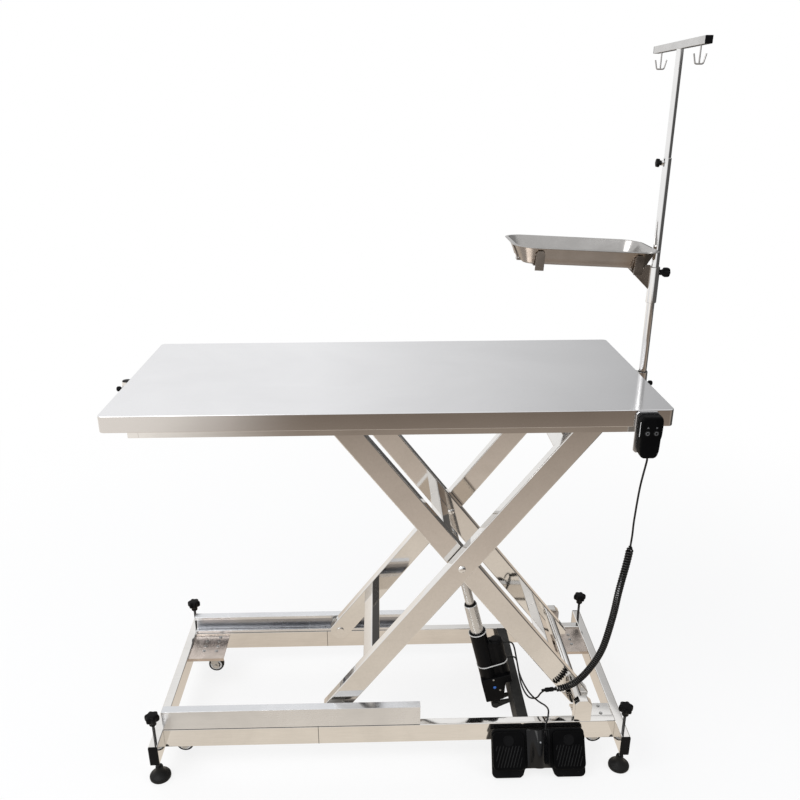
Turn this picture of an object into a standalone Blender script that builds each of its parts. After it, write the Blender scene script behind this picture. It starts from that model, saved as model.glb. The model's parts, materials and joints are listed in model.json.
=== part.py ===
"""Electric scissor-lift veterinary surgery table, built as separate pieces.

Metres, +Z up, X along the table, the operator's long side at -Y. The floor is z = 0, and the origin
lies under the middle of the table's bounding box. The scissor stands at its highest position.
"""
import math

import bmesh
import bpy
from mathutils import Matrix, Vector

# Clearances and welds
SEAT = 0.0003              # gap between pieces that are screwed to, or stand on, each other
PIN_PLAY = 0.0003          # radial play of a pin or tube in its hole
SHAFT_PLAY = 0.0007        # radial play of a pivot shaft in its brackets
ROLLER_PLAY = 0.0004       # gap between a roller and the flange that it bears on
WELD = 0.001               # depth that welded pieces run into each other

# Table top, a folded sheet pan
TABLE_LENGTH = 1.300
TABLE_WIDTH = 0.600
TABLE_HEIGHT = 1.078
TOP_SHEET = 0.0015
SKIRT_HEIGHT = 0.040
SKIRT_RETURN = 0.012
TOP_CORNER_RADIUS = 0.012
TOP_EDGE_RADIUS = 0.003

# Rectangular stainless tube of the base and the sub-frame
TUBE_HEIGHT = 0.060
TUBE_WIDTH = 0.025
TUBE_WALL = 0.0015
GROUND_CLEARANCE = 0.072
RAIL_INSET = 0.0675        # from the table's side to the outer face of the base rails
END_CAP = 0.004
BASE_CROSS_X = 0.371
BASE_CROSS_WIDTH = 0.030
SUBFRAME_INSET = 0.023     # from the table's side to the outer face of the sub-frame
SUBFRAME_END_INSET = 0.0565

# Lipped channels that guide the rollers
CHANNEL_WALL = 0.002
CHANNEL_LIP = 0.010
CHANNEL_PAST = 0.237       # past the rollers at full height

# Scissor legs
LEG_SPAN = 1.120           # pivot to roller
LEG_WIDTH = 0.060
LEG_THICK = 0.030
LEG_WALL = 0.0015
LEG_OVERHANG = 0.027       # past the lower pin
LEG_CHAMFER = 0.016
LEG_GAP = 0.005            # between an inner and an outer leg
LEG_TO_CHANNEL = 0.0125    # between the outer legs and the base channels
UPPER_CHANNEL_GAP = 0.0075
PIVOT_INSET = 0.117        # from the table's end to the fixed pivots
CROSS_ALONG = 0.040        # cross tubes between the legs, measured along the leg
CROSS_ACROSS = 0.030
INNER_CROSS_LOW = 0.120    # from the fixed lower pivot
INNER_CROSS_MID = 0.065    # above the scissor's centre
OUTER_CROSS_LOW = 0.170    # from the lower roller
OUTER_CROSS_TOP = 0.150    # from the fixed upper pivot
ROLLER_DIAMETER = 0.0552
ROLLER_WIDTH = 0.018
ROLLER_EDGE = 0.002
AXLE_RADIUS = 0.007
SHAFT_RADIUS = 0.0125
SHAFT_HEAD_RADIUS = 0.0156
CENTRE_BOLT_RADIUS = 0.008
BOLT_HEAD_RADIUS = 0.013
BOLT_HEAD = 0.005
SHOULDER_RADIUS = 0.011
BRACKET_WIDTH = 0.047
BRACKET_RISE = 0.038       # from the pivot to the bracket's free end
BRACKET_CHAMFER = 0.012

# Linear actuator between the base and the inner legs
ACTUATOR_Y = -0.050
CLEVIS_BACK = 0.053        # lower pin, from the middle of the base's cross tube
CLEVIS_DROP = 0.019        # lower pin, below the base's cross tube
ROD_PIN_ALONG = 0.0154     # rod-end pin, along the inner leg above the scissor's centre
TONGUE_RADIUS = 0.013
TONGUE_HALF = 0.0105
PIVOT_BORE = 0.0065
PIVOT_HEAD_RADIUS = 0.0095
LUG_THICK = 0.005
LUG_SIDE_GAP = 0.0005
GEARBOX_START = 0.024
GEARBOX_END = 0.105
GEARBOX_HALF = 0.028
GEARBOX_NOSE = 0.028       # half width at the lower end, on the motor's side
GEARBOX_STEP = 0.025       # height of the shoulder that carries the motor
GUIDE_TUBE_RADIUS = 0.0185
GUIDE_TUBE_LENGTH = 0.252
SLEEVE_RADIUS = 0.0245
SLEEVE_LENGTH = 0.157
MOTOR_RADIUS = 0.020
MOTOR_LENGTH = 0.120
MOTOR_DOME = 0.006
ROD_RADIUS = 0.0125
ROD_START = 0.285          # inner end of the rod, from the lower pin
EYE_RADIUS = 0.014
EYE_HALF = 0.010
EYE_NECK = 0.014

# Levelling screws
LEVELLER_INSET = 0.032     # from the end of an end tube
SCREW_RADIUS = 0.004
KNOB_RISE = 0.051          # underside of the star knob, above the base tube
KNOB_RADIUS = 0.020
KNOB_NECK_RADIUS = 0.0095
KNOB_NECK = 0.012
KNOB_HEAD = 0.022
KNOB_EDGE = 0.004
KNOB_LOBE = 0.09
FOOT_RADIUS = 0.029
FOOT_HEIGHT = 0.041
FOOT_RIM = 0.013           # height of the broad rim
FOOT_NECK_RADIUS = 0.010
FOOT_BORE_DEPTH = 0.020

# Casters
CASTER_PLATE_DROP = 0.006  # plate's top below the top of the base tubes
CASTER_PLATE_THICK = 0.002
CASTER_PLATE_LIP = 0.010
CASTER_PLATE_LENGTH = 0.110
CASTER_PLATE_FRONT = 0.070  # depth of a front plate, from its rail
CASTER_PLATE_REAR = 0.123
CASTER_END_INSET = 0.052   # swivel axis, from the end tube
CASTER_SIDE_INSET = 0.0315  # swivel axis, from the rail
CASTER_TRAIL = 0.012
CASTER_GROUND = 0.013      # wheel above the floor while the table stands on its levellers
CASTER_WHEEL_RADIUS = 0.025
CASTER_WHEEL_WIDTH = 0.020
CASTER_TREAD = 0.005
CASTER_AXLE_RADIUS = 0.004
FORK_WIDTH = 0.032
FORK_PLATE = 0.0025
FORK_END_RADIUS = 0.010
FORK_HEAD_RADIUS = 0.0055
FORK_HEAD = 0.003
SWIVEL_RADIUS = 0.018
SWIVEL_HEIGHT = 0.008

# Infusion pole and its sockets
POLE_REACH = 0.018         # from the table's end to the pole's axis
SOCKET_LENGTH = 0.071
SOCKET_DROP = 0.004        # socket mouth below the table top
SOCKET_WALL = 0.0027
SOCKET_COLLAR = 0.005
SOCKET_COLLAR_WALL = 0.0037
SOCKET_KNOB_DROP = 0.036   # below the table top
POLE_RADIUS = 0.0095
POLE_WALL = 0.0012
POLE_INSERT = 0.068        # pole's lower end below the table top
POLE_LENGTH = 0.590
UPPER_POLE_WALL = 0.0012
UPPER_POLE_LENGTH = 0.5315
UPPER_POLE_OVERLAP = 0.300  # inside the lower tube
TBAR_SIZE = 0.016
TBAR_LENGTH = 0.336
TBAR_PLUG = 0.003
HOOK_SPACING = 0.253
HOOK_WIRE = 0.0018
HOOK_DROP = 0.036
HOOK_REACH = 0.0135
HOOK_RISE = 0.020
HOOK_FLAT = 0.0055        # from the stem to the start of a bend
HOOK_BEND = 0.004
POLE_KNOB_DROP = 0.011     # below the mouth of the lower tube
POLE_BOSS = 0.005
STUD_RADIUS = 0.003
CLAMP_KNOB_RADIUS = 0.0125
CLAMP_NECK_RADIUS = 0.007
CLAMP_KNOB_LENGTH = 0.018
CLAMP_KNOB_NECK = 0.008
CLAMP_KNOB_EDGE = 0.003
POLE_KNOB_LENGTH = 0.009

# Instrument tray and its holder
TRAY_ABOVE = 0.274         # pan's underside at the pole, above the table top
TRAY_RISE = math.radians(3.0)
TRAY_POLE_GAP = 0.0175     # from the pan's rim to the pole's axis
TRAY_LENGTH = 0.352
TRAY_WIDTH = 0.220
TRAY_DEPTH = 0.042
TRAY_SHEET = 0.0012
TRAY_RIM = 0.008
TRAY_FLARE = 0.018
TRAY_KNEE = 0.0045         # flare at the knee of the wall
TRAY_KNEE_Z = 0.014
TRAY_FOOT_Z = 0.003
TRAY_FOOT = 0.006
TRAY_CORNER = 0.026
STRAP_WIDTH = 0.019
STRAP_THICK = 0.0025
STRAP_GAP = 0.0008
STRAP_SPACING = 0.235
STRAP_RISE = 0.033
STRAP_POINT = 0.007
CLAMP_LENGTH = 0.0885
CLAMP_DROP = 0.0075        # sleeve's top below the pan's underside
CLAMP_WALL = 0.0030
CLAMP_KNOB_DROP = 0.0135   # below the sleeve's top
GUSSET_LENGTH = 0.060
GUSSET_HEIGHT = 0.060
GUSSET_TIP = 0.006
GUSSET_THICK = 0.005

# Handset on the front skirt
HANDSET_INSET = 0.057      # from the table's end
HANDSET_DROP = 0.0085      # below the table top
HANDSET_HEIGHT = 0.101
HANDSET_WIDTH = 0.052
HANDSET_THICK = 0.024
HANDSET_EDGE = 0.005
HANDSET_BACK_EDGE = 0.003
HOLDER_THICK = 0.003
HOLDER_WIDTH = 0.053
HOLDER_SHIFT = 0.0045      # towards the table's middle, from the handset
HOLDER_HEIGHT = 0.100
HOLDER_CHAMFER = 0.006
BUTTON_RADIUS = 0.0065
BUTTON_SPACING = 0.020
BUTTON_DROP = 0.038        # below the handset's top
BUTTON_PROUD = 0.0014
BUTTON_WELL = 0.006
BUTTON_TRAVEL = 0.002

# Foot pedal, leant on the front rail
PEDAL_X = 0.407
PEDAL_LEAN = math.radians(60.0)
PEDAL_WIDTH = 0.258
PEDAL_DEPTH = 0.130
PEDAL_MIDDLE_DEPTH = 0.106
PEDAL_BASE = 0.012
PEDAL_CORNER = 0.014
PEDAL_HUMP_WIDTH = 0.066
PEDAL_HUMP_HEIGHT = 0.032
PEDAL_HUMP_SHOULDER = 0.010
PEDAL_GAP = 0.004          # beside the hump
TREADLE_DEPTH = 0.112
TREADLE_THICK = 0.009
TREADLE_CORNER = 0.012
TREADLE_EDGE = 0.003
TREADLE_SIDE_GAP = 0.0015
TREADLE_TILT = math.radians(4.0)
TREADLE_HINGE = 0.012      # hinge axis, from the pedal's rear edge
TREADLE_BACK = 0.006       # treadle behind its hinge axis
TREADLE_PLAY = 0.002
HINGE_PAD = 0.010

# Cords
CORD_RADIUS = 0.0023
LEAD_RADIUS = 0.0021
CURL_RADIUS = 0.0055       # to the middle of the wire
CURL_COUNT = 58
CURL_POINTS = 8
CORD_SAMPLE = 0.0125
LEAD_ALONG = 0.205         # where the leads enter the motor, from the actuator's lower pin
PEDAL_LEAD_ALONG = 0.150
CORD_RUN_OUT = 0.012       # straight stretch where a cord leaves a piece
PEDAL_CORD_SIDE = 0.020
PEDAL_CORD_RISE = 0.028

# Sides of a turned piece
FINE = 14
COARSE = 10
KNOB_SIDES = 18
WIRE_SIDES = 6

# Places that follow from the sizes
TABLE_END = TABLE_LENGTH / 2
TABLE_SIDE = TABLE_WIDTH / 2
SHEET_UNDER = TABLE_HEIGHT - TOP_SHEET
ROOF = SHEET_UNDER - SEAT
RAIL_TOP = GROUND_CLEARANCE + TUBE_HEIGHT
RAIL_FACE = TABLE_SIDE - RAIL_INSET
RAIL_INNER = RAIL_FACE - TUBE_WIDTH
END_TUBE_INNER = TABLE_END - TUBE_WIDTH
SUBFRAME_END = TABLE_END - SUBFRAME_END_INSET
SUBFRAME_SIDE = TABLE_SIDE - SUBFRAME_INSET
OUTER_LEG_FACE = RAIL_INNER - LEG_TO_CHANNEL
OUTER_LEG_BACK = OUTER_LEG_FACE - LEG_THICK
INNER_LEG_FACE = OUTER_LEG_BACK - LEG_GAP
INNER_LEG_BACK = INNER_LEG_FACE - LEG_THICK
ROLLER_RADIUS = ROLLER_DIAMETER / 2
CHANNEL_HEIGHT = ROLLER_DIAMETER + 2 * (ROLLER_PLAY + CHANNEL_WALL)
CHANNEL_DEPTH = TUBE_WIDTH
UPPER_LIP_FACE = INNER_LEG_FACE + UPPER_CHANNEL_GAP
LEG_HALF = LEG_SPAN / 2
PIVOT_X = TABLE_END - PIVOT_INSET
LOW_PIVOT_Z = RAIL_TOP + SEAT + CHANNEL_WALL + ROLLER_PLAY + ROLLER_RADIUS
TOP_PIVOT_Z = ROOF - CHANNEL_WALL - ROLLER_PLAY - ROLLER_RADIUS
LEG_ANGLE = math.asin((TOP_PIVOT_Z - LOW_PIVOT_Z) / LEG_SPAN)
ROLLER_X = PIVOT_X - LEG_SPAN * math.cos(LEG_ANGLE)
CENTRE_X = (PIVOT_X + ROLLER_X) / 2
CENTRE_Z = (LOW_PIVOT_Z + TOP_PIVOT_Z) / 2
ACTUATOR_PIN_X = BASE_CROSS_X - CLEVIS_BACK
ACTUATOR_PIN_Z = GROUND_CLEARANCE - CLEVIS_DROP
ROD_PIN_X = PIVOT_X - (LEG_HALF + ROD_PIN_ALONG) * math.cos(LEG_ANGLE)
ROD_PIN_Z = LOW_PIVOT_Z + (LEG_HALF + ROD_PIN_ALONG) * math.sin(LEG_ANGLE)
ACTUATOR_ANGLE = math.atan2(ROD_PIN_Z - ACTUATOR_PIN_Z, ROD_PIN_X - ACTUATOR_PIN_X)
ACTUATOR_LENGTH = math.hypot(ROD_PIN_Z - ACTUATOR_PIN_Z, ROD_PIN_X - ACTUATOR_PIN_X)
MOTOR_OFFSET = SLEEVE_RADIUS + MOTOR_RADIUS + SEAT
MOTOR_SIDE = MOTOR_OFFSET + MOTOR_RADIUS
POLE_X = TABLE_END + POLE_REACH
POLE_BOTTOM = TABLE_HEIGHT - POLE_INSERT
POLE_MOUTH = POLE_BOTTOM + POLE_LENGTH
UPPER_POLE_RADIUS = POLE_RADIUS - POLE_WALL - PIN_PLAY
TBAR_BOTTOM = POLE_MOUTH - UPPER_POLE_OVERLAP + UPPER_POLE_LENGTH
SOCKET_BORE = POLE_RADIUS + PIN_PLAY
SOCKET_RADIUS = SOCKET_BORE + SOCKET_WALL
SOCKET_TOP = TABLE_HEIGHT - SOCKET_DROP
CLAMP_RADIUS = SOCKET_BORE + CLAMP_WALL
KNOB_TIP = POLE_X + max(SOCKET_RADIUS, CLAMP_RADIUS) + SEAT + CLAMP_KNOB_NECK + CLAMP_KNOB_LENGTH
TRAY_Z = TABLE_HEIGHT + TRAY_ABOVE
TRAY_CENTRE = TRAY_POLE_GAP + TRAY_LENGTH / 2
CLAMP_TOP = TRAY_Z - CLAMP_DROP
HANDSET_X = TABLE_END - HANDSET_INSET
HANDSET_TOP = TABLE_HEIGHT - HANDSET_DROP
HANDSET_BACK = TABLE_SIDE + HOLDER_THICK + 2 * SEAT
HANDSET_FRONT = HANDSET_BACK + HANDSET_THICK
PEDAL_TOP = PEDAL_DEPTH * math.sin(PEDAL_LEAN) + SEAT
ORIGIN_Y = (HANDSET_FRONT + BUTTON_PROUD - TABLE_SIDE) / 2

SIDES = (("front", -1), ("rear", 1))
ENDS = (("left", -1), ("right", 1))


def material(name, colour, roughness, metallic):
    """A Principled material in one colour."""
    finish = bpy.data.materials.new(name)
    finish.use_nodes = True
    shader = finish.node_tree.nodes["Principled BSDF"]
    shader.inputs["Base Color"].default_value = (*colour, 1.0)
    shader.inputs["Roughness"].default_value = roughness
    shader.inputs["Metallic"].default_value = metallic
    finish.diffuse_color = (*colour, 1.0)
    return finish


def make_finishes():
    """The materials, by name."""
    return {
        "polished": material("polished_stainless", (0.78, 0.74, 0.68), 0.12, 1.0),
        "brushed": material("brushed_stainless", (0.72, 0.71, 0.70), 0.32, 1.0),
        "zinc": material("zinc_plated_steel", (0.62, 0.63, 0.64), 0.30, 1.0),
        "black": material("black_plastic", (0.02, 0.02, 0.021), 0.42, 0.0),
        "rubber": material("black_rubber", (0.018, 0.018, 0.018), 0.65, 0.0),
        "tread": material("grey_tread", (0.32, 0.33, 0.34), 0.55, 0.0),
        "nylon": material("white_nylon", (0.78, 0.77, 0.74), 0.45, 0.0),
        "cord": material("black_cord", (0.015, 0.015, 0.016), 0.5, 0.0),
    }


def empty(name, parent=None, location=(0, 0, 0), rotation=(0, 0, 0)):
    """A frame that pieces hang on, with its origin on a joint's axis."""
    frame = bpy.data.objects.new(name, None)
    bpy.context.collection.objects.link(frame)
    frame.parent = parent
    frame.location = location
    frame.rotation_euler = rotation
    return frame


def add(name, shape, finish, parent, location=(0, 0, 0)):
    """Turn a finished shape into a named piece."""
    bmesh.ops.recalc_face_normals(shape, faces=shape.faces)
    mesh = bpy.data.meshes.new(name)
    shape.to_mesh(mesh)
    shape.free()
    mesh.shade_smooth()
    mesh.set_sharp_from_angle(angle=math.radians(35))
    mesh.materials.append(finish)
    piece = bpy.data.objects.new(name, mesh)
    bpy.context.collection.objects.link(piece)
    piece.parent = parent
    piece.location = location
    return piece


def place(axis, along, a, b):
    """A point from its place along an axis and its two other coordinates, in X, Y, Z order."""
    return {"X": (along, a, b), "Y": (a, along, b), "Z": (a, b, along)}[axis]


def loft(loops, ring=False):
    """Skin loops of equally many points; close the ends, or the last loop to the first for a ring."""
    shape = bmesh.new()
    rows = [[shape.verts.new(point) for point in loop] for loop in loops]
    pairs = list(zip(rows, rows[1:]))
    if ring:
        pairs.append((rows[-1], rows[0]))
    for low, high in pairs:
        for k, vertex in enumerate(low):
            after = (k + 1) % len(low)
            shape.faces.new((vertex, low[after], high[after], high[k]))
    if not ring:
        shape.faces.new(reversed(rows[0]))
        shape.faces.new(rows[-1])
    return shape


def prism(outline, axis, low, high):
    """Extrude a flat outline along an axis."""
    return loft([[place(axis, along, a, b) for a, b in outline] for along in sorted((low, high))])


def box(x, y, z):
    """A plain block between limits along X, Y and Z."""
    return prism([(x[0], y[0]), (x[1], y[0]), (x[1], y[1]), (x[0], y[1])], "Z", *z)


def rounded(half_a, half_b, radius, steps=3, centre=(0, 0)):
    """Outline of a rectangle with round corners."""
    points = []
    for quarter, (sa, sb) in enumerate(((1, 1), (-1, 1), (-1, -1), (1, -1))):
        for step in range(steps + 1):
            angle = math.radians(90 * (quarter + step / steps))
            points.append((centre[0] + sa * (half_a - radius) + radius * math.cos(angle),
                           centre[1] + sb * (half_b - radius) + radius * math.sin(angle)))
    return points


def chamfered(a, b, cut):
    """Outline of a rectangle between limits a and b with its four corners cut off."""
    return [(a[0] + cut, b[0]), (a[1] - cut, b[0]), (a[1], b[0] + cut), (a[1], b[1] - cut),
            (a[1] - cut, b[1]), (a[0] + cut, b[1]), (a[0], b[1] - cut), (a[0], b[0] + cut)]


def arc(centre, radius, start, end, steps):
    """Points on an arc, with its angles in degrees."""
    angles = (math.radians(start + (end - start) * step / steps) for step in range(steps + 1))
    return [(centre[0] + radius * math.cos(t), centre[1] + radius * math.sin(t)) for t in angles]


def turned(profile, axis, centre=(0, 0), sides=COARSE, ring=False, lobes=6):
    """Turn a profile of (along, radius) or (along, radius, lobe depth) about an axis."""
    loops = []
    for along, radius, *lobe in profile:
        loop = []
        for k in range(sides):
            angle = 2 * math.pi * k / sides
            reach = radius * (1 + (lobe[0] * math.cos(lobes * angle) if lobe else 0))
            loop.append(place(axis, along, centre[0] + reach * math.cos(angle),
                              centre[1] + reach * math.sin(angle)))
        loops.append(loop)
    return loft(loops, ring)


def pipe(axis, low, high, centre, outer, inner):
    """A round tube with open ends."""
    profile = [(low, outer), (high, outer), (high, inner), (low, inner)]
    return turned(profile, axis, centre, FINE, ring=True)


def rod(axis, low, high, centre, radius, sides=COARSE):
    """A round bar."""
    return turned([(low, radius), (high, radius)], axis, centre, sides)


def carve(shape, *tools, operation="DIFFERENCE"):
    """Cut tools out of a shape, or join them on, one after the other."""
    for tool in tools:
        pair = []
        for part in (shape, tool):
            bmesh.ops.recalc_face_normals(part, faces=part.faces)
            mesh = bpy.data.meshes.new("carving")
            part.to_mesh(mesh)
            part.free()
            pair.append(bpy.data.objects.new("carving", mesh))
            bpy.context.collection.objects.link(pair[-1])
        modifier = pair[0].modifiers.new("carve", "BOOLEAN")
        modifier.operation = operation
        modifier.solver = "EXACT"
        modifier.object = pair[1]
        bpy.context.view_layer.update()
        evaluated = pair[0].evaluated_get(bpy.context.evaluated_depsgraph_get())
        shape = bmesh.new()
        shape.from_mesh(evaluated.to_mesh())
        for part in pair:
            mesh = part.data
            bpy.data.objects.remove(part)
            bpy.data.meshes.remove(mesh)
    return shape


def fuse(shape, *others):
    """Weld shapes that run into each other into one."""
    return carve(shape, *others, operation="UNION")


def mirrored(limits, side):
    """Limits on the positive side, moved to the given side."""
    return sorted((side * limits[0], side * limits[1]))


def channel(side, lip_face, web_face, bottom, low, high):
    """A lipped channel along X, open towards the table's middle line."""
    top = bottom + CHANNEL_HEIGHT
    inner_lip = lip_face + CHANNEL_WALL
    inner_web = web_face - CHANNEL_WALL
    section = [(web_face, bottom), (web_face, top), (lip_face, top), (lip_face, top - CHANNEL_LIP),
               (inner_lip, top - CHANNEL_LIP), (inner_lip, top - CHANNEL_WALL),
               (inner_web, top - CHANNEL_WALL), (inner_web, bottom + CHANNEL_WALL),
               (inner_lip, bottom + CHANNEL_WALL), (inner_lip, bottom + CHANNEL_LIP),
               (lip_face, bottom + CHANNEL_LIP), (lip_face, bottom)]
    return prism([(side * y, z) for y, z in section], "X", low, high)


def pivot_bracket(side, inner, welded, free, right):
    """A block that carries one end of a pivot shaft, with its free corners cut off."""
    left = PIVOT_X - BRACKET_WIDTH / 2
    cut = BRACKET_CHAMFER
    slope = math.copysign(cut, welded - free)
    outline = [(left, welded), (right, welded), (right, free + slope), (right - cut, free),
               (left + cut, free), (left, free + slope)]
    return prism(outline, "Y", side * inner, side * (inner + TUBE_WIDTH))


def pivot_hole(z, reach):
    """A cutter along Y for the bores of a pivot shaft."""
    return rod("Y", -reach, reach, (PIVOT_X, z), SHAFT_RADIUS + SHAFT_PLAY, FINE)


def base_rail(side):
    """Side rail with the bracket of the fixed lower pivot welded on top."""
    y = mirrored((RAIL_INNER, RAIL_FACE), side)
    reach = END_TUBE_INNER - SEAT
    rail = box((-reach, reach), y, (GROUND_CLEARANCE, RAIL_TOP))
    bracket = pivot_bracket(side, RAIL_INNER, RAIL_TOP - WELD, LOW_PIVOT_Z + BRACKET_RISE,
                            PIVOT_X + BRACKET_WIDTH / 2)
    hollow = box((-TABLE_END, TABLE_END), (y[0] + TUBE_WALL, y[1] - TUBE_WALL),
                 (GROUND_CLEARANCE + TUBE_WALL, RAIL_TOP - TUBE_WALL))
    return carve(fuse(rail, bracket), hollow, pivot_hole(LOW_PIVOT_Z, TABLE_SIDE))


def caster_plate(x_side, y_side):
    """Plate in a corner of the base, with a folded lip; it runs into the end tube by the weld."""
    top = RAIL_TOP - CASTER_PLATE_DROP
    under = top - CASTER_PLATE_THICK
    wall = RAIL_INNER - SEAT
    free = wall - (CASTER_PLATE_FRONT if y_side < 0 else CASTER_PLATE_REAR)
    section = [(wall, top), (wall, under), (free + CASTER_PLATE_THICK, under),
               (free + CASTER_PLATE_THICK, top - CASTER_PLATE_LIP), (free, top - CASTER_PLATE_LIP),
               (free, top)]
    outline = [(y_side * y, z) for y, z in section]
    return prism(outline, "X", x_side * (END_TUBE_INNER - CASTER_PLATE_LENGTH),
                 x_side * (END_TUBE_INNER + WELD))


def base_end(side):
    """Closed end tube with its two caster plates and the holes of the levelling screws."""
    x = mirrored((END_TUBE_INNER, TABLE_END), side)
    tube = box(x, (-TABLE_SIDE, TABLE_SIDE), (GROUND_CLEARANCE, RAIL_TOP))
    tube = fuse(tube, caster_plate(side, -1), caster_plate(side, 1))
    inside = TABLE_SIDE - END_CAP
    hollow = box((x[0] + TUBE_WALL, x[1] - TUBE_WALL), (-inside, inside),
                 (GROUND_CLEARANCE + TUBE_WALL, RAIL_TOP - TUBE_WALL))
    holes = [rod("Z", GROUND_CLEARANCE - WELD, RAIL_TOP + WELD,
                 (side * (TABLE_END - TUBE_WIDTH / 2), end * (TABLE_SIDE - LEVELLER_INSET)),
                 SCREW_RADIUS + PIN_PLAY) for end in (-1, 1)]
    return carve(tube, hollow, *holes)


def base_cross_tube():
    """Tube between the rails with the clevis and the pin that carry the actuator."""
    x = (BASE_CROSS_X - BASE_CROSS_WIDTH / 2, BASE_CROSS_X + BASE_CROSS_WIDTH / 2)
    reach = RAIL_INNER - SEAT
    tube = box(x, (-reach, reach), (GROUND_CLEARANCE, RAIL_TOP))
    pin = (ACTUATOR_PIN_X, ACTUATOR_PIN_Z)
    outline = [(x[1], GROUND_CLEARANCE + WELD), (x[0], GROUND_CLEARANCE + WELD), (x[0], GROUND_CLEARANCE)]
    outline += arc(pin, TONGUE_RADIUS, 75, 275, 8)
    near = TONGUE_HALF + LUG_SIDE_GAP
    far = near + LUG_THICK
    lugs = [prism(outline, "Y", ACTUATOR_Y + side * near, ACTUATOR_Y + side * far) for side in (-1, 1)]
    head = far + BOLT_HEAD
    profile = [(-head, PIVOT_HEAD_RADIUS), (WELD - far, PIVOT_HEAD_RADIUS),
               (WELD - far, PIVOT_BORE - PIN_PLAY), (far - WELD, PIVOT_BORE - PIN_PLAY),
               (far - WELD, PIVOT_HEAD_RADIUS), (head, PIVOT_HEAD_RADIUS)]
    bolt = turned([(ACTUATOR_Y + y, radius) for y, radius in profile], "Y", pin)
    hollow = box((x[0] + TUBE_WALL, x[1] - TUBE_WALL), (-TABLE_SIDE, TABLE_SIDE),
                 (GROUND_CLEARANCE + TUBE_WALL, RAIL_TOP - TUBE_WALL))
    return carve(fuse(tube, *lugs, bolt), hollow)


def make_base(root, finishes):
    """Base of rails, end tubes, cross tube and the channels of the lower rollers."""
    for name, side in SIDES:
        add(f"base_rail_{name}", base_rail(side), finishes["polished"], root)
        guide = channel(side, RAIL_INNER, RAIL_FACE, RAIL_TOP + SEAT, SEAT - END_TUBE_INNER,
                        ROLLER_X + CHANNEL_PAST)
        add(f"roller_channel_{name}", guide, finishes["polished"], root)
    for name, side in ENDS:
        add(f"base_end_{name}", base_end(side), finishes["polished"], root)
    add("base_cross_tube", base_cross_tube(), finishes["polished"], root)


def leveller_screw():
    """Levelling screw with its star knob, standing in the foot's bore."""
    knob = RAIL_TOP + KNOB_RISE
    head = knob + KNOB_NECK
    top = head + KNOB_HEAD
    return turned([(FOOT_HEIGHT - FOOT_BORE_DEPTH + SEAT, SCREW_RADIUS), (knob, SCREW_RADIUS),
                   (knob, KNOB_NECK_RADIUS), (head - KNOB_EDGE / 2, KNOB_NECK_RADIUS),
                   (head + KNOB_EDGE / 2, KNOB_RADIUS / (1 + KNOB_LOBE), KNOB_LOBE),
                   (top - KNOB_EDGE, KNOB_RADIUS / (1 + KNOB_LOBE), KNOB_LOBE),
                   (top, KNOB_RADIUS / (1 + KNOB_LOBE) - KNOB_EDGE, KNOB_LOBE / 2)], "Z", sides=KNOB_SIDES)


def leveller_foot():
    """Bell-shaped rubber foot with a blind bore."""
    bore = SCREW_RADIUS + PIN_PLAY
    waist = (FOOT_RADIUS + FOOT_NECK_RADIUS) / 2
    return turned([(0, FOOT_RADIUS - FOOT_RIM / 8), (FOOT_RIM / 2, FOOT_RADIUS),
                   (FOOT_RIM, FOOT_RADIUS - FOOT_RIM / 8), ((FOOT_RIM + FOOT_HEIGHT) / 3, waist),
                   ((FOOT_RIM + FOOT_HEIGHT) / 2, FOOT_NECK_RADIUS + WELD), (FOOT_HEIGHT, FOOT_NECK_RADIUS),
                   (FOOT_HEIGHT, bore), (FOOT_HEIGHT - FOOT_BORE_DEPTH, bore)], "Z", sides=FINE)


def caster_fork(side):
    """Swivel head, bent fork and axle, about the swivel axis; the wheel trails to one side along X."""
    top = RAIL_TOP - CASTER_PLATE_DROP - CASTER_PLATE_THICK - SEAT
    shoulder = top - SWIVEL_HEIGHT
    half = FORK_WIDTH / 2
    axle = (side * CASTER_TRAIL, CASTER_GROUND + CASTER_WHEEL_RADIUS)
    nose = SWIVEL_RADIUS - FORK_PLATE
    outline = [(-side * nose, shoulder), (side * (CASTER_TRAIL + FORK_PLATE), shoulder)]
    outline += arc(axle, FORK_END_RADIUS, 90 - 100 * side, 90 - 250 * side, 6)
    outline.append((-side * nose, shoulder - SWIVEL_HEIGHT))
    reach = 2 * SWIVEL_RADIUS + CASTER_TRAIL
    inside = box((-reach, reach), (FORK_PLATE - half, half - FORK_PLATE), (0, shoulder - FORK_PLATE))
    fork = carve(prism(outline, "Y", -half, half), inside)
    head = rod("Z", shoulder - WELD, top, (0, 0), SWIVEL_RADIUS)
    tip = half + FORK_HEAD
    spindle = turned([(-tip, FORK_HEAD_RADIUS), (WELD - half, FORK_HEAD_RADIUS),
                      (WELD - half, CASTER_AXLE_RADIUS), (half - WELD, CASTER_AXLE_RADIUS),
                      (half - WELD, FORK_HEAD_RADIUS), (tip, FORK_HEAD_RADIUS)], "Y", axle)
    return fuse(fork, head, spindle)


def caster_wheel():
    """Wheel with a rounded tread and a bore, about its axle along Y."""
    half = CASTER_WHEEL_WIDTH / 2
    radius = CASTER_WHEEL_RADIUS
    bore = CASTER_AXLE_RADIUS + PIN_PLAY
    shoulder = radius - CASTER_TREAD / 4
    return turned([(-half, bore), (-half, radius - CASTER_TREAD), (CASTER_TREAD / 2 - half, shoulder),
                   (0, radius), (half - CASTER_TREAD / 2, shoulder), (half, radius - CASTER_TREAD),
                   (half, bore)], "Y", sides=FINE, ring=True)


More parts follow.
